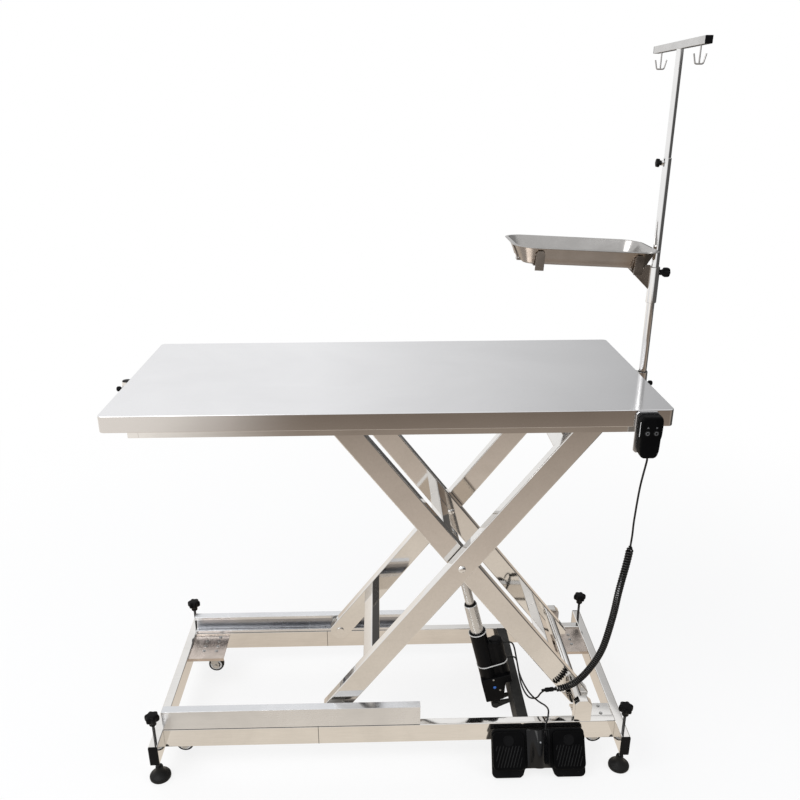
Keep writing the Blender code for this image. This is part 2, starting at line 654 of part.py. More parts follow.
def make_feet(root, finishes):
    """A levelling screw, its foot, a swivel fork and a wheel at each corner."""
    for x_name, x_side in ENDS:
        for y_name, y_side in SIDES:
            corner = f"{y_name}_{x_name}"
            spot = (x_side * (TABLE_END - TUBE_WIDTH / 2), y_side * (TABLE_SIDE - LEVELLER_INSET), 0)
            add(f"leveller_screw_{corner}", leveller_screw(), finishes["black"], root, spot)
            add(f"leveller_foot_{corner}", leveller_foot(), finishes["rubber"], root, spot)
            swivel = (x_side * (END_TUBE_INNER - CASTER_END_INSET),
                      y_side * (RAIL_INNER - CASTER_SIDE_INSET), 0)
            trail = -x_side * y_side
            add(f"caster_fork_{corner}", caster_fork(trail), finishes["zinc"], root, swivel)
            hub = (swivel[0] + trail * CASTER_TRAIL, swivel[1], CASTER_GROUND + CASTER_WHEEL_RADIUS)
            add(f"caster_wheel_{corner}", caster_wheel(), finishes["tread"], root, hub)


def leg_frame(low, high, back, crosses, bores, axle, lip_face):
    """Two tube legs welded to their cross tubes and stub axles; pins lie along local X."""
    half = LEG_WIDTH / 2
    start = low - LEG_OVERHANG
    cut = LEG_CHAMFER
    face = back + LEG_THICK
    # the lower end has its corners cut off, and the upper end is round, so that it turns under the sheet
    outline = arc((high, 0), half, -90, 90, 8)
    outline += [(start + cut, half), (start, half - cut), (start, cut - half), (start + cut, -half)]
    frame, other = (prism(outline, "Y", side * back, side * face) for side in (-1, 1))
    bars = []
    hollows = []
    for along in crosses:
        x = (along - CROSS_ALONG / 2, along + CROSS_ALONG / 2)
        z = (-CROSS_ACROSS / 2, CROSS_ACROSS / 2)
        bars.append(box(x, (-back - WELD, back + WELD), z))
        through = back + LEG_WALL + WELD
        hollows.append(box((x[0] + LEG_WALL, x[1] - LEG_WALL), (-through, through),
                           (z[0] + LEG_WALL, z[1] - LEG_WALL)))
    for side in (-1, 1):
        y = mirrored((back + LEG_WALL, face - LEG_WALL), side)
        hollows.append(box((start - half, high + 2 * half), y, (LEG_WALL - half, half - LEG_WALL)))
    for along, radius in bores:
        hollows.append(rod("Y", -TABLE_SIDE, TABLE_SIDE, (along, 0), radius + PIN_PLAY, FINE))
    frame = carve(fuse(frame, bars[0], other, *bars[1:]), *hollows)
    return fuse(frame, *(stub_axle(axle, side, back, face, lip_face) for side in (-1, 1)))


def stub_axle(along, side, back, face, lip_face):
    """Axle welded into a leg: a head behind the leg, a shoulder outside it and the roller's journal."""
    end = lip_face + CHANNEL_DEPTH - CHANNEL_WALL - ROLLER_PLAY
    profile = [(back - BOLT_HEAD, BOLT_HEAD_RADIUS), (back + WELD, BOLT_HEAD_RADIUS),
               (back + WELD, AXLE_RADIUS), (face - WELD, AXLE_RADIUS),
               (face - WELD, SHOULDER_RADIUS), (lip_face - SEAT, SHOULDER_RADIUS),
               (lip_face - SEAT, AXLE_RADIUS), (end, AXLE_RADIUS)]
    return turned([(side * y, radius) for y, radius in profile], "Y", (along, 0))


def rod_lugs():
    """Two lugs on the middle cross tube that take the actuator's rod end, with their pin stubs."""
    pin = LEG_HALF + ROD_PIN_ALONG
    face = LEG_HALF + INNER_CROSS_MID - CROSS_ALONG / 2 + WELD
    outline = [(face, -EYE_RADIUS), (face, EYE_RADIUS)] + arc((pin, 0), EYE_RADIUS, 90, 270, 6)
    near = EYE_HALF + LUG_SIDE_GAP
    far = near + LUG_THICK
    shapes = []
    for side in (-1, 1):
        shapes.append(prism(outline, "Y", ACTUATOR_Y + side * near, ACTUATOR_Y + side * far))
        stub = sorted((ACTUATOR_Y + side * (far - WELD), ACTUATOR_Y + side * (far + BOLT_HEAD)))
        shapes.append(rod("Y", *stub, (pin, 0), PIVOT_HEAD_RADIUS))
    return shapes


def pivot_shaft(reach):
    """A through shaft along Y with a retaining head at each end."""
    head = reach + SEAT
    return turned([(-head - BOLT_HEAD, SHAFT_HEAD_RADIUS), (-head, SHAFT_HEAD_RADIUS),
                   (-head, SHAFT_RADIUS), (head, SHAFT_RADIUS),
                   (head, SHAFT_HEAD_RADIUS), (head + BOLT_HEAD, SHAFT_HEAD_RADIUS)], "Y", sides=FINE)


def centre_bolt(side):
    """Bolt through an inner and an outer leg, with a washer between them and a domed head."""
    nut = INNER_LEG_BACK - SEAT
    washer = (INNER_LEG_FACE + SEAT, OUTER_LEG_BACK - SEAT)
    head = OUTER_LEG_FACE + SEAT
    profile = [(nut - BOLT_HEAD, BOLT_HEAD_RADIUS), (nut, BOLT_HEAD_RADIUS),
               (nut, CENTRE_BOLT_RADIUS), (washer[0], CENTRE_BOLT_RADIUS),
               (washer[0], BOLT_HEAD_RADIUS), (washer[1], BOLT_HEAD_RADIUS),
               (washer[1], CENTRE_BOLT_RADIUS), (head, CENTRE_BOLT_RADIUS),
               (head, BOLT_HEAD_RADIUS), (head + BOLT_HEAD / 2, BOLT_HEAD_RADIUS),
               (head + BOLT_HEAD, CENTRE_BOLT_RADIUS)]
    return turned([(side * y, radius) for y, radius in profile], "Y")


def roller(side, lip_face):
    """A nylon roller in its channel, about its axle."""
    middle = side * (lip_face + CHANNEL_DEPTH / 2)
    half = ROLLER_WIDTH / 2
    edge = ROLLER_RADIUS - ROLLER_EDGE
    bore = AXLE_RADIUS + PIN_PLAY
    profile = [(-half, bore), (-half, edge), (ROLLER_EDGE - half, ROLLER_RADIUS),
               (half - ROLLER_EDGE, ROLLER_RADIUS), (half, edge), (half, bore)]
    return turned([(middle + y, radius) for y, radius in profile], "Y", sides=FINE, ring=True)


def make_scissor(root, finishes):
    """Inner legs on the fixed lower pivot, outer legs on the scissor's centre, and their rollers."""
    inner = empty("inner_leg_axis", root, (PIVOT_X, 0, LOW_PIVOT_Z), (0, LEG_ANGLE - math.pi, 0))
    frame = leg_frame(0, LEG_SPAN, INNER_LEG_BACK, (INNER_CROSS_LOW, LEG_HALF + INNER_CROSS_MID),
                      ((0, SHAFT_RADIUS), (LEG_HALF, CENTRE_BOLT_RADIUS)), LEG_SPAN, UPPER_LIP_FACE)
    add("inner_leg_frame", fuse(frame, *rod_lugs()), finishes["polished"], inner)
    add("lower_pivot_shaft", pivot_shaft(RAIL_FACE), finishes["zinc"], inner)
    outer = empty("outer_leg_axis", root, (CENTRE_X, 0, CENTRE_Z), (0, -LEG_ANGLE, 0))
    frame = leg_frame(-LEG_HALF, LEG_HALF, OUTER_LEG_BACK,
                      (OUTER_CROSS_LOW - LEG_HALF, LEG_HALF - OUTER_CROSS_TOP),
                      ((0, CENTRE_BOLT_RADIUS), (LEG_HALF, SHAFT_RADIUS)), -LEG_HALF, RAIL_INNER)
    add("outer_leg_frame", frame, finishes["polished"], outer)
    add("upper_pivot_shaft", pivot_shaft(OUTER_LEG_FACE + SEAT + TUBE_WIDTH), finishes["zinc"], outer,
        (LEG_HALF, 0, 0))
    for name, side in SIDES:
        add(f"centre_bolt_{name}", centre_bolt(side), finishes["zinc"], outer)
        add(f"upper_roller_{name}", roller(side, UPPER_LIP_FACE), finishes["nylon"], root,
            (ROLLER_X, 0, TOP_PIVOT_Z))
        add(f"lower_roller_{name}", roller(side, RAIL_INNER), finishes["nylon"], root,
            (ROLLER_X, 0, LOW_PIVOT_Z))


def actuator_housing():
    """Gearbox with its mounting tongue, motor can and rod sleeve, moulded in one."""
    # the motor lies on the -Z side, which faces right and up
    block = prism([(GEARBOX_START, SLEEVE_RADIUS), (GEARBOX_END, SLEEVE_RADIUS), (GEARBOX_END, -MOTOR_SIDE),
                   (GEARBOX_END - GEARBOX_STEP, -MOTOR_SIDE), (GEARBOX_END - GEARBOX_STEP, -MOTOR_OFFSET),
                   (GEARBOX_START, -GEARBOX_NOSE)], "Y", -GEARBOX_HALF, GEARBOX_HALF)
    root = GEARBOX_START + WELD
    outline = [(root, -TONGUE_RADIUS), (root, TONGUE_RADIUS)] + arc((0, 0), TONGUE_RADIUS, 90, 270, 6)
    tongue = prism(outline, "Y", -TONGUE_HALF, TONGUE_HALF)
    start = GEARBOX_END - WELD
    sleeve = pipe("X", start, GEARBOX_END + SLEEVE_LENGTH, (0, 0), SLEEVE_RADIUS - WELD / 4,
                  GUIDE_TUBE_RADIUS + PIN_PLAY)
    end = GEARBOX_END + MOTOR_LENGTH
    motor = turned([(start, MOTOR_RADIUS - WELD / 4), (end - MOTOR_DOME, MOTOR_RADIUS - WELD / 4),
                    (end, MOTOR_RADIUS - MOTOR_DOME)], "X", (0, -MOTOR_OFFSET), FINE)
    bore = rod("Y", -2 * TONGUE_HALF, 2 * TONGUE_HALF, (0, 0), PIVOT_BORE, FINE)
    return carve(fuse(block, tongue, sleeve, motor), bore)


def actuator_rod():
    """Rod with an eye at its end."""
    neck = ACTUATOR_LENGTH - 2 * EYE_RADIUS
    bar = rod("X", ROD_START, neck, (0, 0), ROD_RADIUS, FINE)
    outline = [(neck - EYE_NECK, -EYE_HALF), (neck, -EYE_RADIUS)]
    outline += arc((ACTUATOR_LENGTH, 0), EYE_RADIUS, -90, 90, 8)
    outline += [(neck, EYE_RADIUS), (neck - EYE_NECK, EYE_HALF)]
    eye = prism(outline, "Y", -EYE_HALF, EYE_HALF)
    return carve(fuse(bar, eye), rod("Y", -2 * EYE_HALF, 2 * EYE_HALF, (ACTUATOR_LENGTH, 0), PIVOT_BORE))


def make_actuator(root, finishes):
    """Linear actuator along local X from its lower pin."""
    frame = empty("actuator_axis", root, (ACTUATOR_PIN_X, ACTUATOR_Y, ACTUATOR_PIN_Z),
                  (0, -ACTUATOR_ANGLE, 0))
    add("actuator_housing", actuator_housing(), finishes["black"], frame)
    start = GEARBOX_END + SEAT
    tube = pipe("X", start, start + GUIDE_TUBE_LENGTH, (0, 0), GUIDE_TUBE_RADIUS, ROD_RADIUS + PIN_PLAY)
    add("actuator_tube", tube, finishes["brushed"], frame)
    add("actuator_rod", actuator_rod(), finishes["zinc"], frame)


def table_top():
    """Folded sheet pan: top, rounded edge, skirt and inward return."""
    skirt = TABLE_HEIGHT - SKIRT_HEIGHT
    edge = TOP_EDGE_RADIUS
    inner_corner = TOP_CORNER_RADIUS - TOP_SHEET
    steps = [(edge, TABLE_HEIGHT), (edge / 3, TABLE_HEIGHT - edge / 3), (0, TABLE_HEIGHT - edge),
             (0, skirt), (SKIRT_RETURN, skirt), (SKIRT_RETURN, skirt + TOP_SHEET),
             (TOP_SHEET, skirt + TOP_SHEET), (TOP_SHEET, SHEET_UNDER)]
    loops = []
    for inset, z in steps:
        radius = max(TOP_CORNER_RADIUS - inset, inner_corner / 4)
        loops.append([(x, y, z) for x, y in rounded(TABLE_END - inset, TABLE_SIDE - inset, radius)])
    return loft(loops)


def subframe():
    """Welded ring of tubes under the sheet with the brackets of the fixed upper pivot."""
    z = (ROOF - TUBE_HEIGHT, ROOF)
    inside_z = (z[0] + TUBE_WALL, z[1] - TUBE_WALL)
    inner_end = SUBFRAME_END - TUBE_WIDTH
    inner_side = SUBFRAME_SIDE - TUBE_WIDTH
    tubes = []
    hollows = []
    for side in (-1, 1):
        x = mirrored((inner_end, SUBFRAME_END), side)
        tubes.append(box(x, (-SUBFRAME_SIDE, SUBFRAME_SIDE), z))
        hollows.append(box((x[0] + TUBE_WALL, x[1] - TUBE_WALL), (-TABLE_SIDE, TABLE_SIDE), inside_z))
        y = mirrored((inner_side, SUBFRAME_SIDE), side)
        tubes.append(box((-inner_end - WELD, inner_end + WELD), y, z))
        reach = inner_end + TUBE_WALL + WELD
        hollows.append(box((-reach, reach), (y[0] + TUBE_WALL, y[1] - TUBE_WALL), inside_z))
    seat = OUTER_LEG_FACE + SEAT
    brackets = [pivot_bracket(side, seat, ROOF, TOP_PIVOT_Z - BRACKET_RISE, inner_end + WELD)
                for side in (-1, 1)]
    frame = carve(fuse(*tubes), *hollows)
    return carve(fuse(frame, *brackets), pivot_hole(TOP_PIVOT_Z, inner_side))


def make_table(root, finishes):
    """Sheet top, sub-frame and the channels of the upper rollers."""
    add("table_top", table_top(), finishes["brushed"], root)
    add("subframe", subframe(), finishes["polished"], root)
    for name, side in SIDES:
        guide = channel(side, UPPER_LIP_FACE, UPPER_LIP_FACE + CHANNEL_DEPTH, ROOF - CHANNEL_HEIGHT,
                        SEAT + TUBE_WIDTH - SUBFRAME_END, ROLLER_X + CHANNEL_PAST)
        add(f"upper_channel_{name}", guide, finishes["polished"], root)


def clamp_knob(start, bearing, tip):
    """Clamping screw along X: a stud from start to bearing, then a neck and a lobed knob up to tip."""
    sign = math.copysign(1, tip - start)
    grip = CLAMP_KNOB_RADIUS / (1 + KNOB_LOBE)
    neck = bearing + sign * CLAMP_KNOB_NECK
    return turned([(start, STUD_RADIUS), (bearing, STUD_RADIUS), (bearing, CLAMP_NECK_RADIUS),
                   (neck, CLAMP_NECK_RADIUS), (neck + sign * CLAMP_KNOB_EDGE, grip, KNOB_LOBE),
                   (tip - sign * CLAMP_KNOB_EDGE, grip, KNOB_LOBE),
                   (tip, grip - CLAMP_KNOB_EDGE, KNOB_LOBE / 2)], "X", sides=KNOB_SIDES)


def pole_socket(side):
    """Socket with a neck to the table's end, a collar and the hole of its clamping screw."""
    low = SOCKET_TOP - SOCKET_LENGTH
    outline = [(TABLE_END + SEAT, -SOCKET_RADIUS)] + arc((POLE_X, 0), SOCKET_RADIUS, -90, 90, 12)
    outline.append((TABLE_END + SEAT, SOCKET_RADIUS))
    body = prism([(side * x, y) for x, y in outline], "Z", low, SOCKET_TOP)
    axis = (side * POLE_X, 0)
    collar = rod("Z", SOCKET_TOP - WELD, SOCKET_TOP + SOCKET_COLLAR, axis,
                 SOCKET_BORE + SOCKET_COLLAR_WALL, FINE)
    bore = rod("Z", low - WELD, SOCKET_TOP + SOCKET_COLLAR + WELD, axis, SOCKET_BORE, FINE)
    stud = rod("X", *mirrored((POLE_X, KNOB_TIP), side), (0, TABLE_HEIGHT - SOCKET_KNOB_DROP),
               STUD_RADIUS + PIN_PLAY)
    return carve(fuse(body, collar), bore, stud)


def make_sockets(root, finishes):
    """A pole socket with its clamping knob on each end of the table."""
    for name, side in ENDS:
        add(f"pole_socket_{name}", pole_socket(side), finishes["polished"], root)
        knob = clamp_knob(side * (POLE_X + POLE_RADIUS + SEAT), side * (POLE_X + SOCKET_RADIUS + SEAT),
                          side * KNOB_TIP)
        add(f"socket_knob_{name}", knob, finishes["black"], root, (0, 0, TABLE_HEIGHT - SOCKET_KNOB_DROP))


def pole_lower(knob_z):
    """Lower tube of the pole, with a boss for the clamping screw."""
    tube = rod("Z", POLE_BOTTOM, POLE_MOUTH, (0, 0), POLE_RADIUS, FINE)
    boss = rod("X", -POLE_RADIUS - POLE_BOSS, 0, (0, knob_z), 2 * STUD_RADIUS)
    bore = rod("Z", POLE_BOTTOM - WELD, POLE_MOUTH + WELD, (0, 0), POLE_RADIUS - POLE_WALL, FINE)
    stud = rod("X", -POLE_RADIUS - 2 * POLE_BOSS, 0, (0, knob_z), STUD_RADIUS + PIN_PLAY)
    return carve(fuse(tube, boss), bore, stud)


def double_hook(y):
    """A stem under the cross bar and one wire bent like an anchor into two upturned prongs."""
    bottom = TBAR_BOTTOM - HOOK_DROP
    prong = [(HOOK_REACH, bottom + HOOK_RISE)]
    prong += arc((HOOK_FLAT, bottom + HOOK_BEND), HOOK_BEND, -10, -90, 3)
    path = prong + [(-x, z) for x, z in reversed(prong)]
    points = [Vector((x, y, z)) for x, z in path]
    side = Vector((0, 1, 0))
    loops = []
    for k, point in enumerate(points):
        along = points[min(k + 1, len(points) - 1)] - points[max(k - 1, 0)]
        across = along.cross(side).normalized()
        ring = (2 * math.pi * step / WIRE_SIDES for step in range(WIRE_SIDES))
        loops.append([point + HOOK_WIRE * (math.cos(t) * across + math.sin(t) * side) for t in ring])
    stem = rod("Z", bottom, TBAR_BOTTOM + WELD, (0, y), HOOK_WIRE - WELD / 4, WIRE_SIDES)
    return fuse(loft(loops), stem)


def pole_upper():
    """Upper tube with the hollow cross bar and its hooks welded on."""
    bottom = POLE_MOUTH - UPPER_POLE_OVERLAP
    half = TBAR_SIZE / 2
    reach = TBAR_LENGTH / 2
    z = (TBAR_BOTTOM, TBAR_BOTTOM + TBAR_SIZE)
    tube = rod("Z", bottom, TBAR_BOTTOM + WELD, (0, 0), UPPER_POLE_RADIUS, FINE)
    bar = prism([(x, zz) for x, zz in chamfered((-half, half), z, UPPER_POLE_WALL)], "Y", -reach, reach)
    wall = UPPER_POLE_WALL
    inside = box((wall - half, half - wall), (TBAR_PLUG - reach, reach - TBAR_PLUG),
                 (z[0] + wall, z[1] - wall))
    bore = rod("Z", bottom - WELD, z[0] + 2 * wall, (0, 0), UPPER_POLE_RADIUS - wall, FINE)
    pole = carve(fuse(tube, bar), inside, bore)
    return fuse(pole, *(double_hook(side * HOOK_SPACING / 2) for side in (-1, 1)))


def make_pole(root, finishes):
    """Telescopic infusion pole with its clamping knob, cross bar and hooks."""
    frame = empty("pole_axis", root, (POLE_X, 0, 0))
    knob_z = POLE_MOUTH - POLE_KNOB_DROP
    add("pole_lower", pole_lower(knob_z), finishes["polished"], frame)
    add("pole_upper", pole_upper(), finishes["polished"], frame)
    bearing = -POLE_RADIUS - POLE_BOSS - SEAT
    knob = clamp_knob(-UPPER_POLE_RADIUS - SEAT, bearing, bearing - CLAMP_KNOB_NECK - POLE_KNOB_LENGTH)
    add("pole_knob", knob, finishes["black"], frame, (0, 0, knob_z))


def pan_wall(z):
    """How far the pan's outer wall stands past its floor at a height."""
    if z < TRAY_KNEE_Z:
        return TRAY_KNEE * (z - TRAY_FOOT_Z) / (TRAY_KNEE_Z - TRAY_FOOT_Z)
    top = TRAY_DEPTH - TRAY_SHEET
    return TRAY_KNEE + (TRAY_FLARE - TRAY_KNEE) * (z - TRAY_KNEE_Z) / (top - TRAY_KNEE_Z)


def tray_pan(floor_x, floor_y):
    """Pressed pan with a round foot, a flared wall and a flat rim."""
    sheet = TRAY_SHEET
    rim = TRAY_FLARE + TRAY_RIM
    # outside from the floor to the rim, then back down inside: growth past the floor, height
    steps = [(-TRAY_FOOT, 0), (0, TRAY_FOOT_Z), (TRAY_KNEE, TRAY_KNEE_Z), (TRAY_FLARE, TRAY_DEPTH - sheet),
             (rim, TRAY_DEPTH - 2 * sheet), (rim, TRAY_DEPTH - sheet), (TRAY_FLARE, TRAY_DEPTH),
             (TRAY_FLARE - sheet, TRAY_DEPTH - sheet), (TRAY_KNEE - sheet, TRAY_KNEE_Z),
             (-sheet, TRAY_FOOT_Z + sheet), (-TRAY_FOOT - sheet, sheet)]
    loops = []
    for grow, z in steps:
        outline = rounded(floor_x + grow, floor_y + grow, TRAY_CORNER + grow, centre=(-TRAY_CENTRE, 0))
        loops.append([(x, y, z) for x, y in outline])
    return loft(loops)


def strap(reach, ends, axis, middle, shift=0.0):
    """Flat strap under the pan, turned up along its wall at the given ends, with pointed tips."""
    top = shift - SEAT
    rise = [(0, TRAY_FOOT_Z), (TRAY_KNEE, TRAY_KNEE_Z), (pan_wall(STRAP_RISE), STRAP_RISE)]
    inner = []
    outer = []
    for end in (-1, 1):
        if end in ends:
            edge = reach + STRAP_GAP
            inner.append([(end * edge, top)] + [(end * (edge + a), z) for a, z in rise])
            edge += STRAP_THICK
            outer.append([(end * edge, top - STRAP_THICK)] + [(end * (edge + a), z) for a, z in rise])
        else:
            inner.append([(end * reach, top)])
            outer.append([(end * reach, top - STRAP_THICK)])
    outline = inner[0][::-1] + inner[1] + outer[1][::-1] + outer[0]
    half = STRAP_WIDTH / 2
    offset = -TRAY_CENTRE if axis == "Y" else 0
    shape = prism([(a + offset, z) for a, z in outline], axis, middle - half, middle + half)
    tips = []
    cut = 2 * STRAP_POINT
    across = "Y" if axis == "X" else "X"
    low = STRAP_RISE - STRAP_POINT
    for side in (-1, 1):
        inner_x = middle + side * (half - STRAP_POINT)
        outer_x = middle + side * (half + cut)
        corner = [(middle + side * half, low), (outer_x, low), (outer_x, STRAP_RISE + cut),
                  (inner_x, STRAP_RISE + cut), (inner_x, STRAP_RISE)]
        tips.append(prism(corner, across, -TRAY_LENGTH, TRAY_LENGTH))
    return carve(shape, *tips)


def tray_holder(floor_x, floor_y, tilt):
    """Two cross straps and a lengthwise one, welded by a gusset to the sleeve on the pole."""
    straps = [strap(floor_y, (-1, 1), "X", -TRAY_CENTRE + side * STRAP_SPACING / 2) for side in (-1, 1)]
    # the lengthwise strap lies under the cross straps and runs into them by the weld
    straps.append(strap(floor_x, (-1,), "Y", 0, WELD - STRAP_THICK))
    cage = fuse(straps[2], *straps[:2])
    bmesh.ops.transform(cage, matrix=tilt, verts=cage.verts)
    under = TRAY_Z - (2 * STRAP_THICK + SEAT - WELD) / math.cos(TRAY_RISE) + WELD
    near = WELD - CLAMP_RADIUS
    far = near - GUSSET_LENGTH
    slope = math.tan(TRAY_RISE)
    gusset = prism([(near, under - near * slope - GUSSET_HEIGHT), (near, under - near * slope),
                    (far, under - far * slope), (far, under - far * slope - GUSSET_TIP)],
                   "Y", -GUSSET_THICK / 2, GUSSET_THICK / 2)
    sleeve = rod("Z", CLAMP_TOP - CLAMP_LENGTH, CLAMP_TOP, (0, 0), CLAMP_RADIUS, FINE)
    bore = rod("Z", CLAMP_TOP - CLAMP_LENGTH - WELD, CLAMP_TOP + WELD, (0, 0), SOCKET_BORE, FINE)
    stud = rod("X", 0, 2 * CLAMP_RADIUS, (0, CLAMP_TOP - CLAMP_KNOB_DROP), STUD_RADIUS + PIN_PLAY)
    return carve(fuse(cage, gusset, sleeve), bore, stud)


def make_tray(root, finishes):
    """Instrument pan in its strap holder, which a sleeve clamps to the pole."""
    frame = empty("tray_axis", root, (POLE_X, 0, 0))
    tilt = Matrix.Translation((0, 0, TRAY_Z)) @ Matrix.Rotation(TRAY_RISE, 4, "Y")
    floor_x = TRAY_LENGTH / 2 - TRAY_RIM - TRAY_FLARE
    floor_y = TRAY_WIDTH / 2 - TRAY_RIM - TRAY_FLARE
    pan = tray_pan(floor_x, floor_y)
    bmesh.ops.transform(pan, matrix=tilt, verts=pan.verts)
    add("tray_pan", pan, finishes["brushed"], frame)
    add("tray_holder", tray_holder(floor_x, floor_y, tilt), finishes["polished"], frame)
    knob = clamp_knob(POLE_RADIUS + SEAT, CLAMP_RADIUS + SEAT, KNOB_TIP - POLE_X - SEAT)
    add("tray_knob", knob, finishes["black"], frame, (0, 0, CLAMP_TOP - CLAMP_KNOB_DROP))


def handset_shell():
    """Rounded housing that narrows to its cord, with wells for the two buttons."""
    half = HANDSET_WIDTH / 2
    middle = HANDSET_TOP - HANDSET_HEIGHT / 2
    # right half of the front view, as shares of the half width and the half height
    right = [(0.45, -1.0), (0.75, -0.88), (0.87, -0.64), (0.90, -0.06), (0.97, 0.06), (1.0, 0.72),
             (0.93, 0.90), (0.72, 1.0)]
    outline = right + [(-a, b) for a, b in reversed(right)]
    front = HANDSET_FRONT
    loops = []
    for inset, y in ((HANDSET_BACK_EDGE, HANDSET_BACK), (0, HANDSET_BACK + HANDSET_BACK_EDGE),
                     (0, front - HANDSET_EDGE), (HANDSET_EDGE / 3, front - HANDSET_EDGE / 3),
                     (HANDSET_EDGE, front)):
        loops.append([(HANDSET_X + a * (half - inset), -y, middle + b * (HANDSET_HEIGHT / 2 - inset))
                      for a, b in outline])
    wells = []
    for side in (-1, 1):
        spot = (HANDSET_X + side * BUTTON_SPACING / 2, HANDSET_TOP - BUTTON_DROP)
        wells.append(rod("Y", -front - WELD, BUTTON_WELL - front, spot, BUTTON_RADIUS + PIN_PLAY))
    return carve(loft(loops), *wells)


def make_handset(root, finishes):
    """Two-button handset in a sheet holder on the front skirt, near the right end."""
    middle = HANDSET_X - HOLDER_SHIFT
    top = TABLE_HEIGHT - TOP_EDGE_RADIUS
    outline = chamfered((middle - HOLDER_WIDTH / 2, middle + HOLDER_WIDTH / 2),
                        (top - HOLDER_HEIGHT, top), HOLDER_CHAMFER)
    back = TABLE_SIDE + SEAT
    add("handset_holder", prism(outline, "Y", -back - HOLDER_THICK, -back), finishes["polished"], root)
    add("handset_shell", handset_shell(), finishes["black"], root)
    for name, side in (("up", -1), ("down", 1)):
        button = turned([(-BUTTON_PROUD, BUTTON_RADIUS - BUTTON_PROUD / 2),
                         (-BUTTON_PROUD / 2, BUTTON_RADIUS),
                         (BUTTON_WELL - BUTTON_TRAVEL - SEAT, BUTTON_RADIUS)], "Y")
        add(f"handset_button_{name}", button, finishes["black"], root,
            (HANDSET_X + side * BUTTON_SPACING / 2, -HANDSET_FRONT, HANDSET_TOP - BUTTON_DROP))


def pedal_base():
    """Base plate with two lobes, the humped housing between them and the treadles' hinge pads."""
    half = PEDAL_WIDTH / 2
    lobe = PEDAL_HUMP_WIDTH / 2 + PEDAL_GAP
    cut = PEDAL_CORNER
    left = [(cut - half, 0), (-half, -cut), (-half, cut - PEDAL_DEPTH), (cut - half, -PEDAL_DEPTH),
            (-lobe - cut, -PEDAL_DEPTH), (-lobe, -PEDAL_MIDDLE_DEPTH)]
    plate = prism(left + [(-x, y) for x, y in reversed(left)], "Z", 0, PEDAL_BASE)
    foot = PEDAL_BASE - WELD
    depth = PEDAL_MIDDLE_DEPTH - PEDAL_GAP
    loops = []
    for share, drop in ((-1, 1), (-0.82, 0.3), (-0.45, 0), (0.45, 0), (0.82, 0.3), (1, 1)):
        x = share * PEDAL_HUMP_WIDTH / 2
        crown = PEDAL_HUMP_HEIGHT - drop * PEDAL_HUMP_SHOULDER
        loop = [(x, 0, foot), (x, -depth, foot)]
        for step in range(8):
            swell = 0.45 + 0.55 * math.sin(math.radians(14 + 112 * step / 7))
            loop.append((x, -depth * (1 - step / 7), PEDAL_BASE + crown * swell))
        loops.append(loop)
    pads = []
    for side in (-1, 1):
        for end in (-1, 1):
            middle = side * (half + lobe) / 2 + end * (half - lobe) / 3
            pads.append(box((middle - HINGE_PAD / 2, middle + HINGE_PAD / 2),
                            (-TREADLE_HINGE - HINGE_PAD, -TREADLE_HINGE), (foot, PEDAL_BASE + TREADLE_PLAY)))
    return fuse(plate, loft(loops), *pads)


def treadle():
    """Treadle with round corners, lying forward of its hinge axis."""
    width = (PEDAL_WIDTH - PEDAL_HUMP_WIDTH) / 2 - PEDAL_GAP - 2 * TREADLE_SIDE_GAP
    centre = (0, TREADLE_BACK - TREADLE_DEPTH / 2)
    loops = []
    for inset, z in ((TREADLE_EDGE, 0), (0, TREADLE_EDGE), (0, TREADLE_THICK - TREADLE_EDGE),
                     (TREADLE_EDGE, TREADLE_THICK)):
        outline = rounded(width / 2 - inset, TREADLE_DEPTH / 2 - inset, TREADLE_CORNER - inset, 3, centre)
        loops.append([(x, y, z) for x, y in outline])
    return loft(loops)


def make_pedal(root, finishes):
    """Double foot pedal leant on the front rail."""
    frame = empty("pedal_frame", root, (PEDAL_X, -RAIL_FACE - SEAT, PEDAL_TOP), (PEDAL_LEAN, 0, 0))
    add("pedal_base", pedal_base(), finishes["black"], frame)
    middle = (PEDAL_WIDTH + PEDAL_HUMP_WIDTH) / 4 + PEDAL_GAP / 2
    height = PEDAL_BASE + TREADLE_PLAY + SEAT
    for name, side in ENDS:
        hinge = empty(f"treadle_hinge_{name}", frame, (side * middle, -TREADLE_HINGE, height),
                      (-TREADLE_TILT, 0, 0))
        add(f"treadle_{name}", treadle(), finishes["rubber"], hinge)


def smooth_path(points, step):
    """Points at an even spacing on a smooth curve through the given ones."""
    points = [Vector(p) for p in points]
    dense = []
    for k in range(len(points) - 1):
        p0 = points[max(k - 1, 0)]
        p1, p2 = points[k], points[k + 1]
        p3 = points[min(k + 2, len(points) - 1)]
        for s in range(40):
            t = s / 40
            dense.append(0.5 * (2 * p1 + (p2 - p0) * t + (2 * p0 - 5 * p1 + 4 * p2 - p3) * t ** 2
                                + (3 * p1 - p0 - 3 * p2 + p3) * t ** 3))
    dense.append(points[-1])
    lengths = [0.0]
    for a, b in zip(dense, dense[1:]):
        lengths.append(lengths[-1] + (b - a).length)
    count = max(2, round(lengths[-1] / step))
    path = []
    k = 0
    for n in range(count + 1):
        want = lengths[-1] * n / count
        while k < len(lengths) - 2 and lengths[k + 1] < want:
            k += 1
        path.append(dense[k].lerp(dense[k + 1], (want - lengths[k]) / (lengths[k + 1] - lengths[k])))
    return path


